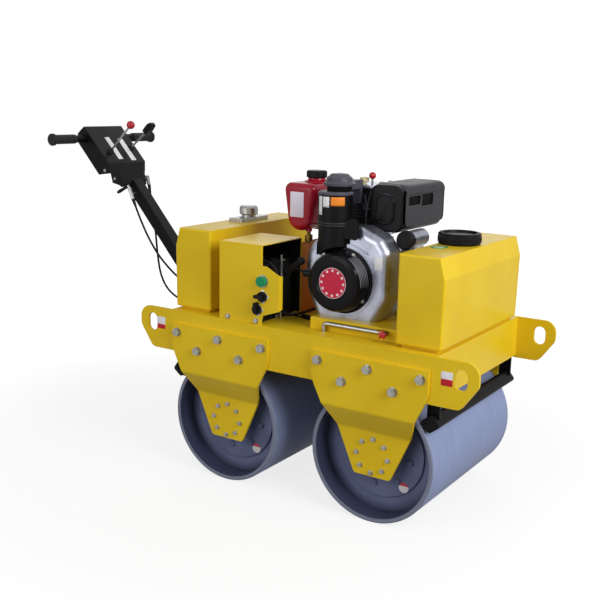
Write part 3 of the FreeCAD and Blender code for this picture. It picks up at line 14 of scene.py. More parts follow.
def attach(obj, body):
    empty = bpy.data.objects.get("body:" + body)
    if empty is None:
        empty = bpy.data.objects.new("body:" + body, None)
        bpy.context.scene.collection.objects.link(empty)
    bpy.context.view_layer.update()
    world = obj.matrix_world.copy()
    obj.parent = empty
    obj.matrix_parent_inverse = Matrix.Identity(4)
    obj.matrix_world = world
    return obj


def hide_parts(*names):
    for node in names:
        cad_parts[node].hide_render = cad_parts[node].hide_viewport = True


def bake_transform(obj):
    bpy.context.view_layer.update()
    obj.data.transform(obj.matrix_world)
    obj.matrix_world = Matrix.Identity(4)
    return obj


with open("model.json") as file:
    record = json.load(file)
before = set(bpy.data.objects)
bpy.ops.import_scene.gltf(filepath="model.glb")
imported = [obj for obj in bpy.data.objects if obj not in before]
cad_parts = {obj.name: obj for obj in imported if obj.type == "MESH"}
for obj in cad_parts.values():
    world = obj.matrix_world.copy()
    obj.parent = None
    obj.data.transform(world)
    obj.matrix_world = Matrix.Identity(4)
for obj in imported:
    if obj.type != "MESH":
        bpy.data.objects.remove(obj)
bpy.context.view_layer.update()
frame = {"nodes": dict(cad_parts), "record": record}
scene = bpy.context.scene
MM = 0.001
GLOSS_SHARE = 0.5   # how much of the white round it a glossy face gets to see
AXLES = {"front": 547.5, "rear": -16.5}
AXLE_Z = 212.5
CRANK_X, CRANK_Z = 383.5, 733.0
CAN = (338.5, -200)   # axis of the air cleaner
RIGHTWARD, UPWARD = (0.0, -1.0, 0.0), (0.0, 0.0, 1.0)
CONSOLE_OUT = (0.7257, 0, 0.688)   # square to the console's sloping top


# ---------------------------------------- camera and light
def make_camera():
    """Camera at a standing person's height, off the machine's front right corner."""
    heading, dip, roll = math.radians(-33.285), math.radians(-12.182), math.radians(1.152)
    forward = Vector((math.sin(heading) * math.cos(dip), math.cos(heading) * math.cos(dip),
                      math.sin(dip)))
    level = Vector((math.cos(heading), -math.sin(heading), 0))
    upward = level.cross(forward)
    right = level * math.cos(roll) + upward * math.sin(roll)
    upward = right.cross(forward)
    turned_axes = Matrix((right, upward, -forward)).transposed().to_4x4()
    data = bpy.data.cameras.new("camera")
    data.lens = 55.39
    data.sensor_width = 36
    camera = bpy.data.objects.new("camera", data)
    camera.matrix_world = Matrix.Translation((1.8236, -2.6522, 1.2773)) @ turned_axes
    scene.collection.objects.link(camera)
    scene.camera = camera


def make_lamp(name, place, size, power):
    """Square soft lamp aimed at the middle of the machine."""
    data = bpy.data.lights.new(name, "AREA")
    data.size = size
    data.energy = power
    lamp = bpy.data.objects.new(name, data)
    aim = Vector((0.1, 0, 0.5)) - Vector(place)
    turn = aim.to_track_quat("-Z", "Y").to_matrix().to_4x4()
    lamp.matrix_world = Matrix.Translation(place) @ turn
    scene.collection.objects.link(lamp)


# ---------------------------------------- shader trees
MIDDLE = {"From Min": 0.3, "From Max": 0.7}   # the range where most of a noise lies


def tone(code):
    """Linear colour of an sRGB hex code such as "e8c41f"."""
    levels = np.array([int(code[i:i + 2], 16) for i in (0, 2, 4)]) / 255
    linear = np.where(levels <= 0.04045, levels / 12.92, ((levels + 0.055) / 1.055) ** 2.4)
    return (*linear.tolist(), 1.0)


def feed(tree, node, inputs):
    """Plug sockets into a node's inputs, or set their values."""
    for name, value in inputs.items():
        if isinstance(value, bpy.types.NodeSocket):
            tree.links.new(value, node.inputs[name])
        else:
            node.inputs[name].default_value = value


def add(tree, kind, inputs=None, **settings):
    """One shader node with its settings, and with values or sockets plugged into its inputs,
    which go by name, or by number where two share a name: a Mix node's colours are inputs 6 and
    7 and output 2."""
    made = tree.nodes.new("ShaderNode" + kind)
    for name, value in settings.items():
        setattr(made, name, value)
    feed(tree, made, inputs or {})
    return made


def new_material(name, mirror=0.2):
    """Empty material: its tree, its principled shader and the object coordinates. mirror is how
    strongly its face reflects: paint, plastic and rubber that have been handled stay low."""
    material = bpy.data.materials.new(name)
    material.use_nodes = True
    tree = material.node_tree
    tree.nodes.clear()
    shader = add(tree, "BsdfPrincipled", {"Specular IOR Level": mirror})
    add(tree, "OutputMaterial", {"Surface": shader.outputs["BSDF"]})
    place = add(tree, "TexCoord").outputs["Object"]
    return material, tree, shader, place


def sprayed_enamel(name, code, shade, rough=0.34, edge=1.0, coat=0.0, mirror=0.2):
    """Gloss enamel sprayed on plate: even colour with a slow drift, 3 mm orange peel, a faint
    wave of the sheet under it, and bent or cut edges that catch the light."""
    material, tree, shader, place = new_material(name, mirror)
    drift = add(tree, "TexNoise", {"Vector": place, "Scale": 4.0, "Detail": 3.0}).outputs["Fac"]
    share = add(tree, "MapRange", {"Value": drift, "From Min": 0.35, "From Max": 0.65}).outputs[0]
    colour = add(tree, "Mix", {
        "Factor": share, 6: tone(shade), 7: tone(code)}, data_type="RGBA").outputs[2]
    rub = add(tree, "TexNoise", {"Vector": place, "Scale": 22.0, "Detail": 5.0}).outputs["Fac"]
    gloss = add(tree, "MapRange", {
        "Value": rub, **MIDDLE, "To Min": rough - 0.05, "To Max": rough + 0.06}).outputs[0]
    corner = add(tree, "Bevel", {"Radius": edge * MM}, samples=4).outputs[0]
    wave = add(tree, "TexNoise", {"Vector": place, "Scale": 7.0, "Detail": 1.0}).outputs["Fac"]
    sheet = add(tree, "Bump", {
        "Height": wave, "Strength": 0.35, "Distance": 0.003, "Normal": corner}).outputs[0]
    peel = add(tree, "TexNoise", {"Vector": place, "Scale": 330.0, "Detail": 1.0}).outputs["Fac"]
    skin_bump = add(tree, "Bump", {
        "Height": peel, "Strength": 0.08, "Distance": 0.0006, "Normal": sheet}).outputs[0]
    feed(tree, shader, {
        "Base Color": colour, "Roughness": gloss, "Normal": skin_bump, "Coat Weight": coat})
    return material


def rolled_drum_steel(name, axle):
    """Rolled mild steel under a thin blue-grey coat: fine marks run round the shell, the tread
    is a little scuffed in bands and the rims are rubbed pale. The ends inside are painted darker
    as shade, darkest next to the shell, where painted shade stands for the shadow in that corner.
    The tread's radius is 212.5 mm, and the rims lie 297.5 mm and more from the middle."""
    material, tree, shader, place = new_material(name)
    centred = add(tree, "Mapping", {
        "Vector": place, "Location": (-axle * MM, 0, -AXLE_Z * MM)}).outputs[0]
    flat = add(tree, "VectorMath", {0: centred, 1: (1, 0, 1)}, operation="MULTIPLY").outputs[0]
    radius = add(tree, "VectorMath", {0: flat}, operation="LENGTH").outputs["Value"]
    outside = add(tree, "MapRange", {
        "Value": radius, "From Min": 0.2105, "From Max": 0.212}).outputs[0]
    banded = add(tree, "VectorMath", {0: centred, 1: (4, 60, 4)}, operation="MULTIPLY").outputs[0]
    bands = add(tree, "TexNoise", {"Vector": banded, "Scale": 1.0, "Detail": 5.0}).outputs["Fac"]
    blotch = add(tree, "TexNoise", {
        "Vector": place, "Scale": 9.0, "Detail": 6.0, "Roughness": 0.6}).outputs["Fac"]
    mixed = add(tree, "Math", {0: bands, 1: blotch}, operation="MULTIPLY").outputs[0]
    share = add(tree, "MapRange", {"Value": mixed, "From Min": 0.16, "From Max": 0.34}).outputs[0]
    tread = add(tree, "Mix", {
        "Factor": share, 6: tone("8994b9"), 7: tone("919dc3")}, data_type="RGBA").outputs[2]
    # painted shade: the inside of the drum is coloured darker than the tread, for the shade it
    # lies in
    inner = add(tree, "Mix", {
        "Factor": share, 6: tone("606787"), 7: tone("70789a")}, data_type="RGBA").outputs[2]
    # painted shade: darker still towards the shell, for the shadow in the corner between end and
    # shell
    corner_shade = add(tree, "MapRange", {
        "Value": radius, "From Min": 0.168, "From Max": 0.198, "To Max": 0.8}).outputs[0]
    lining = add(tree, "Mix", {
        "Factor": corner_shade, 6: inner, 7: tone("31354a")}, data_type="RGBA").outputs[2]
    painted = add(tree, "Mix", {
        "Factor": outside, 6: lining, 7: tread}, data_type="RGBA").outputs[2]
    sideways = add(tree, "SeparateXYZ", {0: centred}).outputs["Y"]
    reach = add(tree, "Math", {0: sideways}, operation="ABSOLUTE").outputs[0]
    lip = add(tree, "MapRange", {
        "Value": reach, "From Min": 0.2962, "From Max": 0.2975}).outputs[0]
    colour = add(tree, "Mix", {
        "Factor": lip, 6: painted, 7: tone("7e8396")}, data_type="RGBA").outputs[2]
    gloss = add(tree, "MapRange", {
        "Value": blotch, **MIDDLE, "To Min": 0.38, "To Max": 0.52}).outputs[0]
    corner = add(tree, "Bevel", {"Radius": 0.002}, samples=4).outputs[0]
    marks = add(tree, "Bump", {
        "Height": bands, "Strength": 0.04, "Distance": 0.0005, "Normal": corner}).outputs[0]
    feed(tree, shader, {"Base Color": colour, "Roughness": gloss, "Normal": marks})
    return material


def die_cast(name, code, shade):
    """Die-cast aluminium with a silver lacquer: bright, softly mottled by the flow of the metal,
    with a 1.5 mm cast grain."""
    material, tree, shader, place = new_material(name, 0.5)
    flow = add(tree, "TexNoise", {
        "Vector": place, "Scale": 14.0, "Detail": 5.0, "Distortion": 0.6}).outputs["Fac"]
    share = add(tree, "MapRange", {"Value": flow, "From Min": 0.35, "From Max": 0.65}).outputs[0]
    colour = add(tree, "Mix", {
        "Factor": share, 6: tone(shade), 7: tone(code)}, data_type="RGBA").outputs[2]
    gloss = add(tree, "MapRange", {
        "Value": flow, **MIDDLE, "To Min": 0.24, "To Max": 0.38}).outputs[0]
    corner = add(tree, "Bevel", {"Radius": 0.0015}, samples=4).outputs[0]
    grain = add(tree, "TexNoise", {"Vector": place, "Scale": 650.0, "Detail": 2.0}).outputs["Fac"]
    pits = add(tree, "Bump", {
        "Height": grain, "Strength": 0.14, "Distance": 0.0004, "Normal": corner}).outputs[0]
    feed(tree, shader, {
        "Base Color": colour, "Roughness": gloss, "Normal": pits, "Metallic": 0.9})
    return material


def plated_steel(name, code, tint, rough=0.28):
    """Bright plated or turned metal, with small patches of passivation or tarnish in a second
    tint and faint turning marks."""
    material, tree, shader, place = new_material(name, 0.5)
    patch = add(tree, "TexNoise", {"Vector": place, "Scale": 70.0, "Detail": 3.0}).outputs["Fac"]
    share = add(tree, "MapRange", {"Value": patch, "From Min": 0.4, "From Max": 0.62}).outputs[0]
    colour = add(tree, "Mix", {
        "Factor": share, 6: tone(tint), 7: tone(code)}, data_type="RGBA").outputs[2]
    fine = add(tree, "TexNoise", {"Vector": place, "Scale": 900.0, "Detail": 2.0}).outputs["Fac"]
    bump = add(tree, "Bump", {"Height": fine, "Strength": 0.1, "Distance": 0.0002}).outputs[0]
    gloss = add(tree, "MapRange", {
        "Value": patch, "To Min": rough - 0.05, "To Max": rough + 0.12}).outputs[0]
    feed(tree, shader, {"Base Color": colour, "Roughness": gloss, "Normal": bump, "Metallic": 1.0})
    return material


def heatproof_paint(name, code, dust_and_sheen, rough=0.5, mirror=0.2):
    """Heat-proof silicone paint: satin, slightly grainy at 1 mm; the faces that look up turn
    paler, partly a breath of dust and partly a painted reflection of the sky."""
    material, tree, shader, place = new_material(name, mirror)
    # faces that look up drift to the paler colour: partly dust, partly a painted reflection of the
    # sky
    lift = add(tree, "SeparateXYZ", {0: add(tree, "NewGeometry").outputs["Normal"]}).outputs["Z"]
    speck = add(tree, "TexNoise", {"Vector": place, "Scale": 45.0, "Detail": 6.0}).outputs["Fac"]
    dust_and_sheen_share = add(tree, "Math", {0: lift, 1: speck}, operation="MULTIPLY").outputs[0]
    share = add(tree, "MapRange", {"Value": dust_and_sheen_share, "From Min": 0.15, "From Max": 0.8}).outputs[0]
    colour = add(tree, "Mix", {
        "Factor": share, 6: tone(code), 7: tone(dust_and_sheen)}, data_type="RGBA").outputs[2]
    gloss = add(tree, "MapRange", {
        "Value": speck, **MIDDLE, "To Min": rough - 0.07, "To Max": rough + 0.07}).outputs[0]
    corner = add(tree, "Bevel", {"Radius": 0.0015}, samples=4).outputs[0]
    grain = add(tree, "TexNoise", {"Vector": place, "Scale": 800.0, "Detail": 1.0}).outputs["Fac"]
    bump = add(tree, "Bump", {
        "Height": grain, "Strength": 0.2, "Distance": 0.0003, "Normal": corner}).outputs[0]
    feed(tree, shader, {"Base Color": colour, "Roughness": gloss, "Normal": bump})
    return material


def moulded(name, code, shade, rough, grain_mm=1.0, depth=0.15, coat=0.0, mirror=0.2):
    """Moulded plastic or rubber: one colour right through with faint flow clouds, and the
    spark-eroded grain of the mould, drawn about twice as coarse as the real 0.5 mm."""
    material, tree, shader, place = new_material(name, mirror)
    cloud = add(tree, "TexNoise", {"Vector": place, "Scale": 25.0, "Detail": 3.0}).outputs["Fac"]
    colour = add(tree, "Mix", {
        "Factor": cloud, 6: tone(shade), 7: tone(code)}, data_type="RGBA").outputs[2]
    gloss = add(tree, "MapRange", {
        "Value": cloud, **MIDDLE, "To Min": rough - 0.06, "To Max": rough + 0.06}).outputs[0]
    grain = add(tree, "TexVoronoi", {
        "Vector": place, "Scale": 1000.0 / grain_mm}).outputs["Distance"]
    bump = add(tree, "Bump", {"Height": grain, "Strength": depth, "Distance": 0.0002}).outputs[0]
    feed(tree, shader, {
        "Base Color": colour, "Roughness": gloss, "Normal": bump, "Coat Weight": coat})
    return material


def ribbed_rubber(name):
    """Moulded grip rubber: soft black with a ring every 5 mm along the bar and a dry bloom in
    the grooves."""
    material, tree, shader, place = new_material(name)
    wave = add(tree, "TexWave", {
        "Vector": place, "Scale": 10.0, "Distortion": 0.0}, bands_direction="Y").outputs["Fac"]
    bloom = add(tree, "TexNoise", {"Vector": place, "Scale": 60.0, "Detail": 4.0}).outputs["Fac"]
    share = add(tree, "Math", {0: wave, 1: bloom}, operation="MULTIPLY").outputs[0]
    colour = add(tree, "Mix", {
        "Factor": share, 6: tone("2b2b2e"), 7: tone("161618")}, data_type="RGBA").outputs[2]
    bump = add(tree, "Bump", {"Height": wave, "Strength": 0.5, "Distance": 0.0008}).outputs[0]
    feed(tree, shader, {"Base Color": colour, "Normal": bump, "Roughness": 0.6})
    return material


def printed_vinyl(name, code, edge_code=None, split=None):
    """Self-adhesive vinyl, screen-printed in flat colours under a clear film: even, glossy, a
    little uneven where it was rubbed down. Below a split height, in millimetres, it is printed
    in the edge colour."""
    material, tree, shader, place = new_material(name)
    rub = add(tree, "TexNoise", {"Vector": place, "Scale": 90.0, "Detail": 3.0}).outputs["Fac"]
    light = add(tree, "MapRange", {"Value": rub, "To Min": 0.0, "To Max": 0.12}).outputs[0]
    colour = add(tree, "Mix", {
        "Factor": light, 6: tone(code), 7: tone("9a9aa2")}, data_type="RGBA").outputs[2]
    if split is not None:
        height = add(tree, "SeparateXYZ", {0: place}).outputs["Z"]
        above = add(tree, "Math", {0: height, 1: split * MM}, operation="GREATER_THAN").outputs[0]
        colour = add(tree, "Mix", {
            "Factor": above, 6: tone(edge_code), 7: colour}, data_type="RGBA").outputs[2]
    bump = add(tree, "Bump", {"Height": rub, "Strength": 0.05, "Distance": 0.0005}).outputs[0]
    feed(tree, shader, {"Base Color": colour, "Normal": bump, "Roughness": 0.3})
    return material


def dotted_dial(name):
    """Printed vinyl disc on the recoil cover: red, with a pale rim and a ring of twelve white
    dots, each 8 mm across on a circle 78 mm across. The rest of it is blank."""
    ring, pairs = 0.039, 6   # radius of the ring in metres, and pairs of dots in it
    material, tree, shader, place = new_material(name)
    centred = add(tree, "Mapping", {
        "Vector": place, "Location": (-CRANK_X * MM, 0, -CRANK_Z * MM)}).outputs[0]
    parts = add(tree, "SeparateXYZ", {0: centred})
    flat = add(tree, "CombineXYZ", {"X": parts.outputs["X"], "Y": parts.outputs["Z"]}).outputs[0]
    radius = add(tree, "VectorMath", {0: flat}, operation="LENGTH").outputs["Value"]
    turn = add(tree, "Math", {
        0: parts.outputs["Z"], 1: parts.outputs["X"]}, operation="ARCTAN2").outputs[0]
    step = add(tree, "Math", {0: turn, 1: pairs / math.pi}, operation="MULTIPLY").outputs[0]
    within = add(tree, "Math", {0: step, 1: 0.5}, operation="PINGPONG").outputs[0]
    across = add(tree, "Math", {
        0: within, 1: ring * math.pi / pairs}, operation="MULTIPLY").outputs[0]
    out = add(tree, "Math", {0: radius, 1: ring}, operation="SUBTRACT").outputs[0]
    offset = add(tree, "CombineXYZ", {"X": across, "Y": out}).outputs[0]
    gap = add(tree, "VectorMath", {0: offset}, operation="LENGTH").outputs["Value"]
    dot = add(tree, "MapRange", {"Value": gap, "From Min": 0.0046, "From Max": 0.0038}).outputs[0]
    rim = add(tree, "MapRange", {
        "Value": radius, "From Min": 0.0462, "From Max": 0.0466}).outputs[0]
    pale = add(tree, "Math", {0: dot, 1: rim}, operation="MAXIMUM").outputs[0]
    ink = add(tree, "TexNoise", {"Vector": place, "Scale": 120.0, "Detail": 3.0}).outputs["Fac"]
    red = add(tree, "Mix", {
        "Factor": ink, 6: tone("c81c3c"), 7: tone("d83252")}, data_type="RGBA").outputs[2]
    colour = add(tree, "Mix", {
        "Factor": pale, 6: red, 7: tone("f3dfe2")}, data_type="RGBA").outputs[2]
    feed(tree, shader, {"Base Color": colour, "Roughness": 0.3})
    return material


# name of the finish: (material, slot of the record that it belongs to)
FINISHES = {
    "yellow": (sprayed_enamel("sprayed_yellow_enamel", "edca23", "e5c01b"), "yellow_paint"),
    # painted shade: yellow paint as it looks in deep shade, for the plate that fills the gap
    # behind the engine
    "orange": (sprayed_enamel("orange_enamel_painted_shade", "ea8a30", "dd7d28", 0.45), "yellow_paint"),
    "bent black": (sprayed_enamel("sprayed_black_enamel_on_bends", "0f0f12", "0b0b0d", 0.42, 5.0,
                                  mirror=0.13), "black_paint"),
    "front steel": (rolled_drum_steel("coated_rolled_steel_front", AXLES["front"]),
                    "blue_grey_paint"),
    "rear steel": (rolled_drum_steel("coated_rolled_steel_rear", AXLES["rear"]),
                   "blue_grey_paint"),
    "black": (sprayed_enamel("sprayed_black_enamel", "0f0f12", "0b0b0d", 0.42, mirror=0.12),
              "black_paint"),
    "heatproof": (heatproof_paint("heatproof_black_silicone_paint", "0b0b0e", "5c5c69", 0.3, 0.14),
                  "black_paint"),
    "dark grey": (heatproof_paint("heatproof_grey_silicone_paint", "38373d", "55545a"),
                  "dark_grey_paint"),
    "dark red": (sprayed_enamel("sprayed_red_enamel", "ae1029", "9c0d25", rough=0.2, coat=0.25),
                 "dark_red_paint"),
    "cast": (die_cast("lacquered_die_cast_aluminium", "bec1cf", "a3a6b5"), "cast_aluminium"),
    "zinc": (plated_steel("zinc_plated_steel", "b3b4b6", "a5a29a"), "zinc_steel"),
    "brass": (plated_steel("turned_brass", "8f7236", "6e5222", 0.26), "yellow_brass"),
    "plastic": (moulded("moulded_black_polypropylene", "151518", "0f0f11", 0.42, mirror=0.13),
                "black_plastic"),
    "gloss black": (sprayed_enamel("stoved_gloss_black_enamel", "100f13", "0b0a0d", 0.22, 1.6,
                                   mirror=0.14), "black_paint"),
    # painted highlight: pale grey for the lips of the recoil's louvres, where the black ribs catch
    # the light
    "louvre grey": (sprayed_enamel("louvre_enamel_painted_highlight", "b4b3be", "83828d", 0.25,
                                   mirror=0.5), "black_paint"),
    "pale plastic": (moulded("moulded_natural_nylon", "b9aea6", "a39890", 0.4, depth=0.1),
                     "black_plastic"),
    # painted shade: a black sheet for the shade inside the battery box
    "shade black": (moulded("black_sheet_painted_shade", "0d0c0d", "080808", 0.9, 2.5, 0.4), "black_rubber"),
    # painted shade: a near-black sheet for the shade behind the heat shield's windows and under
    # the intake's brim
    "shade dark": (heatproof_paint("dark_sheet_steel_painted_shade", "060607", "0b0b0c", 0.7, 0.1),
             "dark_grey_paint"),
    "dome grey": (heatproof_paint("satin_grey_air_intake_paint", "4d4c57", "605f6a", 0.36),
                  "dark_grey_paint"),
    "cream plastic": (moulded("moulded_cream_nylon", "ded4ab", "cfc496", 0.4), "yellow_brass"),
    "legend": (plated_steel("engraved_aluminium_legend", "c6c5be", "b4b2a8", 0.4), "zinc_steel"),
    "green vinyl": (printed_vinyl("printed_green_vinyl", "4f9a4a"), "green_plastic"),
    "pale green vinyl": (printed_vinyl("printed_pale_green_vinyl", "bfdcae"), "green_plastic"),
    "green": (moulded("moulded_green_nylon", "0a9460", "088453", 0.25, depth=0.05, coat=0.2),
              "green_plastic"),
    "red": (moulded("moulded_red_phenolic", "c01f2c", "aa1824", 0.22, depth=0.04, coat=0.4),
            "red_plastic"),
    "rubber": (moulded("moulded_black_rubber", "1d1d1f", "151517", 0.6, 1.4, 0.25),
               "black_rubber"),
    "grip rubber": (ribbed_rubber("ribbed_grip_rubber"), "black_rubber"),
    "white vinyl": (printed_vinyl("printed_white_vinyl", "f4f4f6"), "black_plastic"),
    "lilac vinyl": (printed_vinyl("printed_lilac_vinyl", "f0eafa"), "black_plastic"),
    "orange vinyl": (printed_vinyl("printed_orange_vinyl", "f08a1c"), "black_plastic"),
    "lashing vinyl": (printed_vinyl("printed_red_and_white_vinyl", "e6e4ea", "c8232f", 515.0),
                      "black_plastic"),
    "badge vinyl": (printed_vinyl("printed_white_and_red_vinyl", "cf3a48", "ece8ec", 116.0),
                    "black_plastic"),
    "dial vinyl": (dotted_dial("printed_dotted_vinyl"), "red_plastic"),
}
# the usual finish of each slot, and the nodes that have another one
BY_SLOT = {
    "yellow_paint": "yellow", "blue_grey_paint": "front steel", "black_paint": "black",
    "dark_grey_paint": "dark grey", "dark_red_paint": "dark red", "cast_aluminium": "cast",
    "zinc_steel": "zinc", "yellow_brass": "brass", "black_plastic": "plastic",
    "green_plastic": "green", "red_plastic": "red", "black_rubber": "rubber",
}
BY_NODE = {
    "rear_drum": "rear steel", "muffler": "heatproof", "handle_grips": "grip rubber",
    "console": "bent black", "recoil_starter": "gloss black", "intake_duct": "dome grey",
    "scraper_hangers": "black",
}
for part in frame["record"]["subparts"]:
    node = frame["nodes"][part["node"]]
    finish = BY_NODE.get(part["node"], BY_SLOT[part["material_slot"]])
    node.data.materials.clear()
    node.data.materials.append(FINISHES[finish][0])


# ---------------------------------------- shapes
def square_to(direction, up=None):
    """Unit vectors across, up and out, right-handed, with out along the direction."""
    out = np.array(direction, float) / np.linalg.norm(direction)
    if up is None:
        up = (0, 1, 0) if abs(out[2]) > 0.9 else (0, 0, 1)
    across = np.cross(up, out)
    across = across / np.linalg.norm(across)
    return across, np.cross(out, across), out


def skin(name, grid, finish, body="frame", wrap=True, crease=35):
    """Mesh through one or more grids of points, rows along the shape and columns anticlockwise
    round it: point (row, column) joins the next row and the next column. wrap joins the last
    column to the first and closes the first and last row with one face each."""
    grid = np.asarray(grid, float)
    grid = grid.reshape(-1, *grid.shape[-3:])
    copies, rows, columns, _ = grid.shape
    spans = columns if wrap else columns - 1
    k, i, j = np.meshgrid(np.arange(copies), np.arange(rows - 1), np.arange(spans), indexing="ij")
    start = (k * rows + i) * columns
    after = (j + 1) % columns
    faces = np.stack([start + j, start + after, start + columns + after, start + columns + j],
                     axis=-1).reshape(-1, 4).tolist()
    if wrap:
        first = np.arange(copies)[:, None] * rows * columns + np.arange(columns)
        faces += first[:, ::-1].tolist() + (first + (rows - 1) * columns).tolist()
    mesh = bpy.data.meshes.new(name)
    mesh.from_pydata((grid.reshape(-1, 3) * MM).tolist(), [], faces)
    mesh.polygons.foreach_set("use_smooth", np.ones(len(mesh.polygons), bool))
    mesh.set_sharp_from_angle(angle=math.radians(crease))
    material, slot = FINISHES[finish]
    mesh.materials.append(material)
    piece = bpy.data.objects.new(name, mesh)
    scene.collection.objects.link(piece)
    if body:
        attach(piece, body)
    return piece


def circle(direction, steps):
    """Angles of a full turn, the unit ring square to the direction, across * cos a + up * sin a,
    and the direction itself."""
    across, up, out = square_to(direction)
    angle = np.linspace(0, 2 * np.pi, steps, endpoint=False)
    return angle, across * np.cos(angle)[:, None] + up * np.sin(angle)[:, None], out


def turned(profile, centres, direction, steps=40):
    """Rings round an axis through each centre: point = centre + out * distance + radius *
    (across * cos a + up * sin a) for each (radius, distance) of the profile."""
    _, ring, out = circle(direction, steps)
    radius, distance = np.array(profile, float).T
    shape = radius[:, None, None] * ring + distance[:, None, None] * out
    return np.array(centres, float).reshape(-1, 1, 1, 3) + shape


def hex_bolts(centres, direction, flats, head, washer, thick, start=0.0):
    """Hexagon heads on round washers: in the head the radius is the lesser of the hexagon,
    half flats / cos(a mod 60 - 30 degrees), and a cone that bevels its top corners."""
    angle, ring, out = circle(direction, 36)
    turn = np.mod(angle + math.radians(start), np.pi / 3) - np.pi / 6
    half = flats / 2
    hexagon = half / np.cos(turn)
    even = np.ones(len(angle))
    top = thick + head
    rows = (
        # (radius at each angle, distance out)
        (even * washer, 0),
        (even * washer, thick * 0.7),
        (even * (washer - 0.3 * thick), thick),
        (hexagon, thick),
        (hexagon, top - 0.14 * half),
        (np.minimum(hexagon, half * 1.06), top - 0.04 * half),
        (np.minimum(hexagon, half * 0.96), top),
        (even * half * 0.55, top - 0.04 * half),
    )
    radius = np.array([row[0] for row in rows])
    distance = np.array([row[1] for row in rows])
    shape = radius[:, :, None] * ring + distance[:, None, None] * out
    return np.array(centres, float).reshape(-1, 1, 1, 3) + shape


def rounded(width, height, corner, steps=7):
    """Outline of a rounded rectangle, anticlockwise: the inner corner of the quarter plus the
    corner radius times (cos a, sin a)."""
    quarter, share = np.meshgrid(np.arange(4), np.linspace(0, 1, steps), indexing="ij")
    angle = (quarter + share) * np.pi / 2
    right = np.where((quarter == 0) | (quarter == 3), 1, -1)
    above = np.where(quarter < 2, 1, -1)
    x = right * (width / 2 - corner) + corner * np.cos(angle)
    y = above * (height / 2 - corner) + corner * np.sin(angle)
    return np.stack([x.ravel(), y.ravel()], axis=-1)


def closed(outline):
    """Outline of a rounded rectangle as a path that starts and ends in the middle of its right
    side."""
    middle = [outline[:, 0].max(), 0]
    return np.vstack([middle, outline, middle])


def plate(centre, direction, width, height, thick, corner, bevel=0.0, up=None):
    """Rounded rectangular plate whose back lies on the centre: the outline carried out along the
    direction, and drawn in by the bevel over its last part."""
    across, upward, out = square_to(direction, up)
    bevel = bevel or min(0.3 * thick, 1.0)
    levels = ((0, 0), (0, thick - bevel), (0.3 * bevel, thick - 0.3 * bevel), (bevel, thick))
    rows = [
        np.insert(rounded(width - 2 * inset, height - 2 * inset, max(corner - inset, 0.05)),
                  2, out_by, axis=1)
        for inset, out_by in levels
    ]
    return np.array(centre, float) + np.array(rows) @ np.array([across, upward, out])


def carried(path, radius, steps=14, up=(0, 0, 1)):
    """Round section carried along a path: radius * (side * cos a + lift * sin a), with side and
    lift square to the path's direction. The radius may change along it."""
    path = np.asarray(path, float)
    forward = np.gradient(path, axis=0)
    forward /= np.linalg.norm(forward, axis=1, keepdims=True)
    side = np.cross(np.array(up, float), forward)
    side /= np.linalg.norm(side, axis=1, keepdims=True)
    lift = np.cross(forward, side)
    angle = np.linspace(0, 2 * np.pi, steps, endpoint=False)[None, :, None]
    spread = np.broadcast_to(np.asarray(radius, float), len(path))[:, None, None]
    ring = side[:, None] * np.cos(angle) + lift[:, None] * np.sin(angle)
    return path[:, None, :] + spread * ring


def smooth_line(points):
    """Points, in millimetres, of the smooth NURBS line that has these as its control points."""
    curve = bpy.data.curves.new("route", "CURVE")
    curve.dimensions = "3D"
    spline = curve.splines.new("NURBS")
    spline.points.add(len(points) - 1)
    spline.points.foreach_set("co", np.insert(np.array(points, float), 3, 1, axis=1).ravel())
    spline.order_u = 3
    spline.use_endpoint_u = True
    spline.resolution_u = 10
    holder = bpy.data.objects.new("route", curve)
    mesh = bpy.data.meshes.new_from_object(holder)
    line = np.empty(3 * len(mesh.vertices))
    mesh.vertices.foreach_get("co", line)
    bpy.data.objects.remove(holder)
    bpy.data.meshes.remove(mesh)
    return line.reshape(-1, 3)


def land(node, point, direction):
    """Where a straight line against the direction, from far outside through the point, first
    meets the surface of one of the frame's solids."""
    out = Vector(direction).normalized()
    start = Vector(point) * MM + out
    hit, place, _, _ = frame["nodes"][node].ray_cast(start, -out)
    if not hit:
        raise ValueError(f"{point} is not over {node}")
    return np.array(place) / MM


# ---------------------------------------- cables
def make_cable(name, points, radius, up, end=None):
    """Black control or battery cable: the jacket is a round section carried along its route. If
    end is given, only its presence counts: the jacket's place is baked into its mesh and it hangs
    on no body; otherwise it rides on the frame."""
    line = smooth_line(points)
    piece = skin(name, carried(line, radius, 16, up), "rubber", body=None)
    length = float(np.linalg.norm(np.diff(line, axis=0), axis=1).sum()) * MM
    if end:
        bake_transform(piece)
    else:
        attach(piece, "frame")
    return piece, line, length


def lead_ends(name, line, bodies, long=30.0, wide=7.0, narrow=4.6):
    """Rubber strain reliefs over both ends of a cable, tapering from wide to narrow with three
    shallow rings in each."""
    run = np.concatenate([[0], np.cumsum(np.linalg.norm(np.diff(line, axis=0), axis=1))])
    steps = 25
    made = []
    for word, begin, finish, body in (("near", 0.0, long, bodies[0]),
                                      ("far", run[-1] - long, run[-1], bodies[1])):
        place = np.linspace(begin, finish, steps)
        path = np.stack([np.interp(place, run, line[:, k]) for k in range(3)], axis=1)
        share = np.linspace(1, 0, steps) if word == "near" else np.linspace(0, 1, steps)
        radius = narrow + (wide - narrow) * share + 0.35 * np.sin(share * 6 * np.pi)
        made.append(skin(f"{name}_relief_{word}", carried(path, radius, 16, (0.3, 1, 0.2)),
                         "rubber", body))
    return made


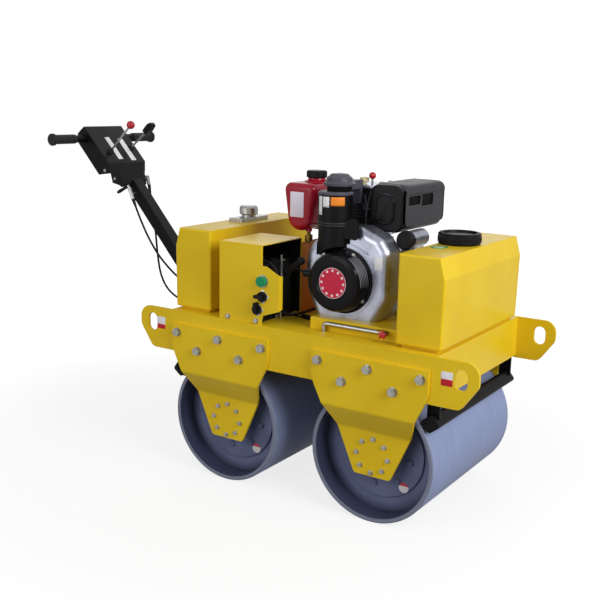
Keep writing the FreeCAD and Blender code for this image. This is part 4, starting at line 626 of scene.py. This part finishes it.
ROUTES = {
    # control points of each cable: the first two run from the handle down to the frame, and the
    # third from the battery to the crankcase
    "right_cable": (
        (-654.5, -55, 897), (-636.5, -57, 862), (-609.5, -58, 812), (-572.5, -60, 754),
        (-524.5, -62, 697), (-467.5, -64, 650), (-402.5, -65, 609), (-338.5, -65, 578),
        (-280.5, -65, 560), (-231.5, -65, 560),
    ),
    "left_cable": (
        (-686.5, 70, 940), (-666.5, 57, 902), (-648.5, 50, 850), (-636.5, 46, 790),
        (-628.5, 44, 728), (-623.5, 46, 664), (-614.5, 50, 596), (-586.5, 55, 540),
        (-536.5, 60, 507), (-476.5, 63, 489), (-408.5, 65, 484), (-341.5, 66, 493),
        (-282.5, 66, 508), (-231.5, 66, 508),
    ),
    "battery_cable": (
        (109.5, -278, 774), (147.5, -278, 774), (173.5, -277, 746), (177.5, -273, 700),
        (173.5, -262, 645), (167.5, -236, 602), (171.5, -190, 584), (191.5, -144, 588),
        (227.5, -112, 606), (269.8, -98.5, 617.6),
    ),
}


def make_cables():
    """The two control cables, which run from the handle down to the frame, and the battery cable.
    """
    for name in ("right_cable", "left_cable"):
        piece, line, length = make_cable(f"{name}_jacket", ROUTES[name], 4.0, (0, 1, 0),
                                         end=(-0.58, 0, 0.80))
        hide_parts(name)
        ends = lead_ends(name, line, ("handle", "frame"))
    piece, line, length = make_cable("battery_cable_jacket", ROUTES["battery_cable"], 4.5,
                                     (0.2, 1, 0.9))
    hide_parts("battery_cable")
    ends = lead_ends("battery_cable", line, ("frame", "frame"), long=24, wide=7.5, narrow=5.2)


# ---------------------------------------- fastenings
def make_fastenings():
    """Bolts of the hubs, drum carriers, panel and recoil cover, and the badges in the drums:
    each set of eight stands on a circle round its axle."""
    hub_face, hub_circle = 287.0, 55
    carrier_face, carrier_circle = 233.0, 107
    recoil_circle = 97
    angle = np.radians(np.arange(8) * 45 - 8.0)
    turn = np.radians(np.arange(8) * 45 - 3.0)
    for word, axle in AXLES.items():
        for side_word, side in (("right", -1), ("left", 1)):
            ring = np.stack([axle + hub_circle * np.cos(turn), np.full(8, side * hub_face),
                             AXLE_Z + hub_circle * np.sin(turn)], axis=1)
            skin(f"{word}_{side_word}_hub_bolts",
                 hex_bolts(ring, (0, side, 0), 13, 5.5, 8, 1.6, start=11), "zinc")
            ring = np.stack([axle + carrier_circle * np.cos(angle),
                             np.full(8, side * carrier_face),
                             AXLE_Z + carrier_circle * np.sin(angle)], axis=1)
            skin(f"{word}_{side_word}_carrier_bolts",
                 hex_bolts(ring, (0, side, 0), 17, 7, 11, 2, start=20),
                 f"{word} steel", f"{word}_drum")
            badge = np.array((axle + 86, side * carrier_face, AXLE_Z - 102))
            skin(f"{word}_{side_word}_carrier_badge",
                 turned(((16.6, 0), (17, 0.2), (16.6, 0.4)), badge, (0, side, 0)),
                 "badge vinyl", f"{word}_drum")
    spots = [land("battery_box", (x, -200, z), RIGHTWARD) for x, z in ((10.5, 583), (123.5, 583))]
    skin("panel_bolts", hex_bolts(spots, RIGHTWARD, 13, 5.5, 9, 1.6), "zinc")
    turns = np.radians([-33, 62, 128, 218])
    spots = [land("recoil_starter", (CRANK_X + recoil_circle * math.cos(a), -200,
                                     CRANK_Z + recoil_circle * math.sin(a)), RIGHTWARD)
             for a in turns]
    skin("recoil_bolts", hex_bolts(spots, RIGHTWARD, 8, 4, 6.5, 1.2), "zinc")


# ---------------------------------------- labels
def on_console(x, y):
    """Point of the console's top, which falls 135 mm over 128 mm forward."""
    return (x, y, 1164 - (x + 861.5) * 135 / 128)


def make_labels():
    """Blank printed labels and the dotted disc on the recoil cover."""
    disc = ((47.6, 0), (48, 0.3), (47.6, 0.6))
    skin("recoil_disc", turned(disc, (CRANK_X, -280.5, CRANK_Z), RIGHTWARD, 72), "dial vinyl")
    for word, centre in (("front", (799, -327, 516)), ("rear", (-273, -327, 520))):
        skin(f"{word}_lashing_label", plate(centre, RIGHTWARD, 36, 42, 0.4, 3), "lashing vinyl")
    skin("fuel_tank_label", plate((158, -145, 946), RIGHTWARD, 52, 82, 0.4, 3), "lilac vinyl")
    uphill = (-CONSOLE_OUT[2], 0, CONSOLE_OUT[0])
    for word, x, y, width in (("right", -784.5, -20, 24), ("left", -778, 45, 26)):
        skin(f"console_{word}_strip", plate(on_console(x, y), CONSOLE_OUT, width, 110, 0.5, 2,
                                            up=uphill), "white vinyl", "handle")
    # air cleaner: each label is a patch of the can, radius * (cos a, sin a) and height
    radius = 54.1
    for word, first, last, bottom, top, finish in (
            ("rear", -126, -108, 935, 993, "white vinyl"),
            ("middle", -104, -80, 960, 992, "white vinyl"),
            ("front", -75, -27.5, 965, 992, "orange vinyl")):
        angle, height = np.meshgrid(np.radians(np.linspace(first, last, 17)),
                                    np.linspace(bottom, top, 5))
        patch = np.stack([CAN[0] + radius * np.cos(angle), CAN[1] + radius * np.sin(angle),
                          height], axis=-1)
        label = skin(f"cleaner_label_{word}", patch, finish, wrap=False)
        thick = label.modifiers.new("film", "SOLIDIFY")
        thick.thickness = 0.0004
        thick.offset = 1
    skin("shroud_label", plate(land("blower_shroud", (506.5, -300, 797), RIGHTWARD), RIGHTWARD,
                               27, 40, 0.4, 2), "white vinyl")
    skin("water_label", plate((654, -108, 852), UPWARD, 48, 66, 0.4, 23), "green vinyl")
    skin("water_label_middle", plate((654, -108, 852.4), UPWARD, 30, 44, 0.2, 14.5),
         "pale green vinyl")


# ---------------------------------------- engine and tank trim
def make_drain_valve():
    """Drain valve with a five-lobed red knob: the knob's radius is 10.8 + 3.2 cos(5 a), drawn in
    and domed towards its face."""
    valve = np.array((566.5, -260, 600))
    angle, ring, out = circle(RIGHTWARD, 80)
    lobes = 10.8 + 3.2 * np.cos(5 * (angle - np.pi / 2))
    # (share of the full radius, way out from the knob's back)
    rows = ((0.94, 0), (1.0, 1.2), (1.0, 6), (0.93, 7.6), (0.6, 8.6), (0.3, 9.0))
    shape = np.array([lobes[:, None] * ring * scale + out * (24.5 + by) for scale, by in rows])
    knob = skin("drain_knob", valve + shape, "red")
    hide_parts("oil_drain_valve")
    stem = ((7, -2), (7, 7), (9.5, 7.6), (9.5, 14), (6, 14.6), (4, 15), (4, 25))
    skin("drain_valve_body", turned(stem, valve, RIGHTWARD, 6), "brass", crease=20)
    elbow = smooth_line(((540, -268, 603), (556, -268, 603), (566.5, -266, 600)))
    skin("drain_valve_elbow", carried(elbow, 6.5), "brass")


def make_head_fittings():
    """Cast rocker cover, its nuts, the cream breather cap, the injection pipe and the small
    steel links between the cylinder and the muffler."""
    skin("rocker_cover", plate((352, -18, 1011), UPWARD, 118, 146, 9, 14, 3), "cast")
    cap = ((9, 9), (9, 15), (14.5, 17), (15.5, 20), (15.5, 27), (13.5, 30.5), (8, 32))
    skin("breather_cap", turned(cap, (358, -58, 1011), UPWARD, 32), "cream plastic")
    nuts = [(304, 40, 1020), (400, 40, 1020), (304, -80, 1020), (402, -20, 1020)]
    skin("rocker_cover_nuts", hex_bolts(nuts, UPWARD, 13, 7, 8.5, 1.6), "zinc")
    pipe = smooth_line(((398, -60, 1004), (408, -78, 1012), (409, -103, 1002), (406, -112, 972),
                        (402, -116, 940), (400, -112, 905), (400, -108, 885)))
    skin("injection_pipe", carried(pipe, 3.2, 12, (1, 0, 0)), "dome grey")
    unions = ((8, 0), (8, 10), (6, 12), (6, 20))
    skin("injection_unions", turned(unions, (400, -110, 884), UPWARD, 6), "zinc", crease=20)
    link = smooth_line(((380, -98, 962), (388, -112, 952), (402, -113, 944), (412, -108, 950)))
    skin("governor_link", carried(link, 2.4, 10), "dome grey")
    arm = smooth_line(((386, -97, 990), (392, -111, 980), (400, -113, 966), (398, -111, 950)))
    skin("governor_arm", carried(arm, 3.0, 10, (0, 1, 0)), "dome grey")


def make_louvre_lips():
    """Pressed lips between the recoil cover's louvres: half-round beads, one every 7 mm, carried
    round part of its side, which narrows from 99 to 92 mm in radius over 44 mm outwards. They
    thin out towards their ends as the root of a sine. Their pale grey on the black cover is a
    painted highlight, for the light that the ribs catch."""
    steps = 60
    angle = np.radians(np.linspace(-4, 60, steps))
    fade = 1.15 * np.sqrt(np.sin(np.linspace(0.06, np.pi - 0.06, steps)))
    beads = []
    for way_out in 9.3 + 7 * np.arange(6):
        y = -223 - way_out
        radius = 99 - way_out * 7 / 44 + 0.1
        line = np.stack([CRANK_X + radius * np.cos(angle), np.full(steps, y),
                         CRANK_Z + radius * np.sin(angle)], axis=1)
        beads.append(carried(line, fade, 8, (0, 1, 0)))
    skin("louvre_lips", beads, "louvre grey")


def make_shade_sheets():
    """Black sheets on the battery box's ceiling and back wall, and the dark sheet behind the
    windows of the heat shield: all painted shade, dark for the shade inside the box and in the
    gap behind the windows."""
    # painted shade: black sheets where the inside of the battery box lies in shade
    skin("box_ceiling_shade_sheet", plate((60, -203, 826.9), (0, 0, -1), 164, 218, 2.5, 2), "shade black")
    skin("box_back_shade_sheet", plate((60, -93.1, 701), RIGHTWARD, 164, 248, 2.5, 2), "shade black")
    edge = closed(rounded(269, 113, 16))
    path = np.column_stack([np.full(len(edge), 543.4), 12.5 + edge[:, 0], 961.5 + edge[:, 1]])
    skin("heat_shield_rim", carried(path, 1.7, 10, (1, 0, 0)), "dark grey")
    # painted shade: a dark sheet behind the windows, for the shade in the gap between shield and
    # muffler
    skin("heat_shield_window_shade", plate((538.6, -19, 979), (1, 0, 0), 190, 52, 1.0, 8), "shade dark")


def make_shield_hood():
    """Upper part of the heat shield, bent back over the muffler's top edge: a rounded square
    corner, x and z to the fourth power adding to one, then flat, carried sideways. Towards
    both ends it is lowered by corner - sqrt(corner ** 2 - past ** 2)."""
    low, high, middle, half, corner = 1002, 1032.6, 12.5, 134.5, 18
    turn = np.linspace(0, np.pi / 2, 25)
    front = 505 + 41.2 * np.sqrt(np.cos(turn))
    height = 1006 + 26.6 * np.sqrt(np.sin(turn))
    front = np.concatenate([[546.2], front, [470, 440]])
    height = np.concatenate([[low], height, [high, high]])
    away = half * np.sin(np.linspace(-np.pi / 2, np.pi / 2, 49))
    past = np.maximum(np.abs(away) - (half - corner), 0)
    lowered = corner - np.sqrt(corner ** 2 - past ** 2)
    rise = (height[:, None] - low) * (1 - lowered / (high - low))
    sheet = np.stack(np.broadcast_arrays(front[:, None], middle + away, low + rise), axis=-1)
    hood = skin("heat_shield_hood", sheet, "dark grey", wrap=False)
    thick = hood.modifiers.new("sheet", "SOLIDIFY")
    thick.thickness = 0.0014
    thick.offset = -1


def make_cleaner_trim():
    """Lid of the air cleaner and the rings at its joint, whose grey is a painted highlight along
    the joint; the dark band under its intake's brim, which is painted shade in the recess; and
    the bead pressed round the muffler's end panel."""
    lid = ((53.5, -10), (55.2, -9), (55.6, -6), (55.0, -3.4), (49.5, 0.6))
    skin("cleaner_lid", turned(lid, (*CAN, 1006), UPWARD, 72), "dome grey")
    bead = ((53.5, 0.9), (55.6, 1.4), (56.2, 2.6), (56.2, 3.6), (55.6, 4.8), (53.5, 5.3))
    # painted highlight: grey rings on the black can stand for the light along its joint
    skin("cleaner_joint_rings", turned(bead, [(*CAN, 900.4), (*CAN, 907.4)], UPWARD, 72),
         "dark grey")
    screen = ((38.6, 0.7), (38.6, 14.6))
    # painted shade: a dark band under the brim, for the shade in the recess there
    skin("intake_brim_shade", turned(screen, (346.5, -192, 1006), UPWARD, 48), "shade dark")
    edge = closed(rounded(55, 88, 25, 13))
    path = np.column_stack([477 + edge[:, 0], np.full(len(edge), -134.6), 955 + edge[:, 1]])
    skin("muffler_end_bead", carried(path, 2.4, 12, (0, 1, 0)), "heatproof")


def make_shade_filler_plate():
    """Orange plate that stands on the deck between the oil tank and the engine, with a foot bent
    towards the engine and two bolts. Its orange is painted shade: it fills the gap with the
    colour that yellow paint takes in deep shade."""
    skin("shade_filler_plate", plate((140, 25.2, 692.5), (1, 0, 0), 229.4, 245, 4, 12), "orange")
    skin("shade_filler_plate_foot", plate((157, 30, 570), UPWARD, 220, 34, 4, 3, up=(-1, 0, 0)),
         "orange")
    skin("shade_filler_plate_bolts", hex_bolts([(160, -40, 574), (160, 100, 574)], UPWARD, 13, 5.5, 9,
                                        1.6), "zinc")


def make_controls():
    """Rings and legend plates behind the button and the two pointer knobs on the panel."""
    ring = ((20.5, 0), (20.5, 1.4), (19.6, 2.2), (17.4, 2.2))
    skin("button_ring", turned(ring, (148.5, -318, 716), RIGHTWARD, 48), "zinc")
    for word, x, z in (("upper", 149.5, 666), ("lower", 129.5, 622)):
        skin(f"legend_plate_{word}", plate((x, -318, z), RIGHTWARD, 35, 35, 1.0, 4,
                                           up=(1, 0, 1)), "legend")


def make_panel_loom():
    """Wiring from the panel over the deck to the engine bed: a corrugated sleeve, radius
    7.5 + 0.7 sin, three wires, two pale connectors and a dark one."""
    line = smooth_line(((40, -266, 578.4), (78, -262, 578.4), (106, -246, 578.4),
                        (114, -220, 578.2), (117, -206, 577)))
    steps = 160
    ripple = 7.5 + 0.7 * np.sin(np.linspace(0, 34 * np.pi, steps))
    place = np.linspace(0, len(line) - 1, steps)
    line = np.stack([np.interp(place, np.arange(len(line)), line[:, k]) for k in range(3)], 1)
    skin("loom_sleeve", carried(line, ripple), "plastic")
    wires = []
    for side, lift in ((-5, 0), (0, 0.6), (5, 0)):
        wires.append(carried(smooth_line((
            (117 + side, -212, 575.5 + lift), (121 + side, -186, 574), (133 + side, -160, 573),
            (160, -144 - side, 572.6 + lift), (196, -150 - side, 572.8 + lift),
            (234, -163 - side, 574 + lift), (262, -168 - side, 582), (289, -170 - side, 590))),
            2.0, 8))
    skin("loom_wires", wires, "rubber")
    blocks = [plate((x, y, 570), UPWARD, wide, 15, 13, 2.5, 1.5, up=up)
              for x, y, wide, up in ((119, -196, 26, (1, -0.2, 0)), (153, -150, 24, (1, -0.1, 0)))]
    skin("loom_connectors_pale", blocks, "pale plastic")
    skin("loom_connector_dark", plate((211, -155, 570), UPWARD, 38, 18, 15, 3, 1.5,
                                      up=(0.3, 1, 0)), "plastic")


def make_cap_ribs():
    """Grip ribs round the water cap: half-round bars, one every 10 degrees."""
    cap_radius, steps, count = 66.4, 6, 36
    height = np.linspace(5, 29, steps)
    swell = 2.0 * np.sin(np.linspace(0.25, np.pi - 0.25, steps))
    path = np.stack([np.full(steps, cap_radius), np.zeros(steps), height], axis=1)
    rib = carried(path, swell, 8, (0, 1, 0))
    angle = np.radians(np.arange(count) * 360 / count)
    c, s, o = np.cos(angle), np.sin(angle), np.zeros(count)
    turns = np.array([[c, -s, o], [s, c, o], [o, o, o + 1]]).transpose(2, 0, 1)
    ribs = np.einsum("kab,ijb->kija", turns, rib)
    skin("water_cap_ribs", np.array((671.5, 0, 852)) + ribs, "plastic")


def make_console_trim():
    """Rubber boots under the two levers, screws, and the black release lever of the handle."""
    boot = ((13, 0), (13, 2), (10.5, 4), (11.2, 6), (8.4, 8), (9, 10), (6.5, 12.5), (5.5, 14))
    for word, x, y in (("right", -773.5, -50), ("left", -781.5, 70)):
        skin(f"lever_boot_{word}", turned(boot, on_console(x, y), CONSOLE_OUT, 28), "rubber",
             "handle")
    for word, side in (("right", -1), ("left", 1)):
        spots = [land("console", (x, 0, z), (0, side, 0)) for x, z in ((-754, 1002), (-722, 972))]
        skin(f"console_screws_{word}", hex_bolts(spots, (0, side, 0), 8, 3.5, 6.5, 1.2), "zinc",
             "handle")
    line = smooth_line(((-672, -50, 946), (-684, -58, 941), (-706, -61, 929), (-728, -62, 917)))
    radius = np.interp(np.linspace(0, 1, len(line)), (0, 0.3, 0.9, 1), (5, 5.5, 7, 4.5))
    skin("release_lever", carried(line, radius, up=(0, 1, 0)), "plastic", "handle")


def make_far_side_pipes():
    """Two steel pipes from the pump, on the far side, over the deck to the oil tank."""
    for word, y, start, end in (("suction", 205, 690, 640), ("return", 165, 670, 615)):
        line = smooth_line(((300, y, start), (262, y, start), (228, y, start - 8),
                            (206, y, (start + end) / 2), (182, y, end + 8), (150, y, end),
                            (20, y, end), (-84, y, end)))
        skin(f"{word}_pipe", carried(line, 8 if word == "suction" else 6, 16, (0, 1, 0)), "zinc")
        nut = ((13, 0), (13, 14), (10, 16))
        skin(f"{word}_pipe_union", turned(nut, (-82.5, y, end), (1, 0, 0), 6), "zinc", crease=20)


make_cables()
make_fastenings()
make_labels()
make_drain_valve()
make_head_fittings()
make_louvre_lips()
make_shade_sheets()
make_shield_hood()
make_cleaner_trim()
make_shade_filler_plate()
make_controls()
make_panel_loom()
make_cap_ribs()
make_console_trim()
make_far_side_pipes()


# ---------------------------------------- floor and light
def share_seen(tree):
    """How much of the white round the machine a ray sees: all of it for the eye and through
    glass, a share of it in gloss, and none of it where it would light the machine."""
    rays = add(tree, "LightPath")
    gloss = add(tree, "Math", {
        0: rays.outputs["Is Glossy Ray"], 1: GLOSS_SHARE}, operation="MULTIPLY").outputs[0]
    seen = add(tree, "Math", {
        0: rays.outputs["Is Camera Ray"], 1: gloss}, operation="MAXIMUM").outputs[0]
    return add(tree, "Math", {
        0: seen, 1: rays.outputs["Is Transmission Ray"]}, operation="MAXIMUM").outputs[0]


def make_floor():
    """Pale studio floor: it takes the shadow, and its own glow, which the eye and gloss see,
    grows with distance so that it reaches white before the edge."""
    side = 14.0
    mesh = bpy.data.meshes.new("floor")
    corners = [(-side, -side, 0), (side, -side, 0), (side, side, 0), (-side, side, 0)]
    mesh.from_pydata(corners, [], [(0, 1, 2, 3)])
    floor = bpy.data.objects.new("floor", mesh)
    material, tree, shader, place = new_material("white_studio_paper")
    feed(tree, shader, {"Base Color": tone("7c7c7c"), "Roughness": 0.9})
    away = add(tree, "VectorMath", {0: place}, operation="LENGTH").outputs["Value"]
    glow = add(tree, "MapRange", {
        "Value": away, "From Min": 0.8, "From Max": 2.6, "To Min": 0.8, "To Max": 1.0},
        interpolation_type="SMOOTHSTEP").outputs[0]
    seen = share_seen(tree)
    level = add(tree, "Math", {0: seen, 1: glow}, operation="MULTIPLY").outputs[0]
    feed(tree, shader, {"Emission Color": (1, 1, 1, 1), "Emission Strength": level})
    mesh.materials.append(material)
    scene.collection.objects.link(floor)


def make_world():
    """Even grey daylight; white where the camera or a glossy surface looks at it."""
    world = bpy.data.worlds.new("studio")
    world.use_nodes = True
    tree = world.node_tree
    tree.nodes.clear()
    seen = share_seen(tree)
    level = add(tree, "MapRange", {"Value": seen, "To Min": 0.33, "To Max": 1.0}).outputs[0]
    back = add(tree, "Background", {"Color": (1, 1, 1, 1), "Strength": level}).outputs[0]
    add(tree, "OutputWorld", {"Surface": back})
    scene.world = world


make_camera()
make_world()
make_floor()
make_lamp("key_lamp", (4.0, -1.0, 2.5), size=2.5, power=138)
make_lamp("fill_lamp", (-1.0, -4.4, 1.8), size=3.0, power=62)
make_lamp("back_lamp", (-1.5, 3.6, 3.0), size=3.0, power=30)

scene.view_settings.view_transform = "Standard"
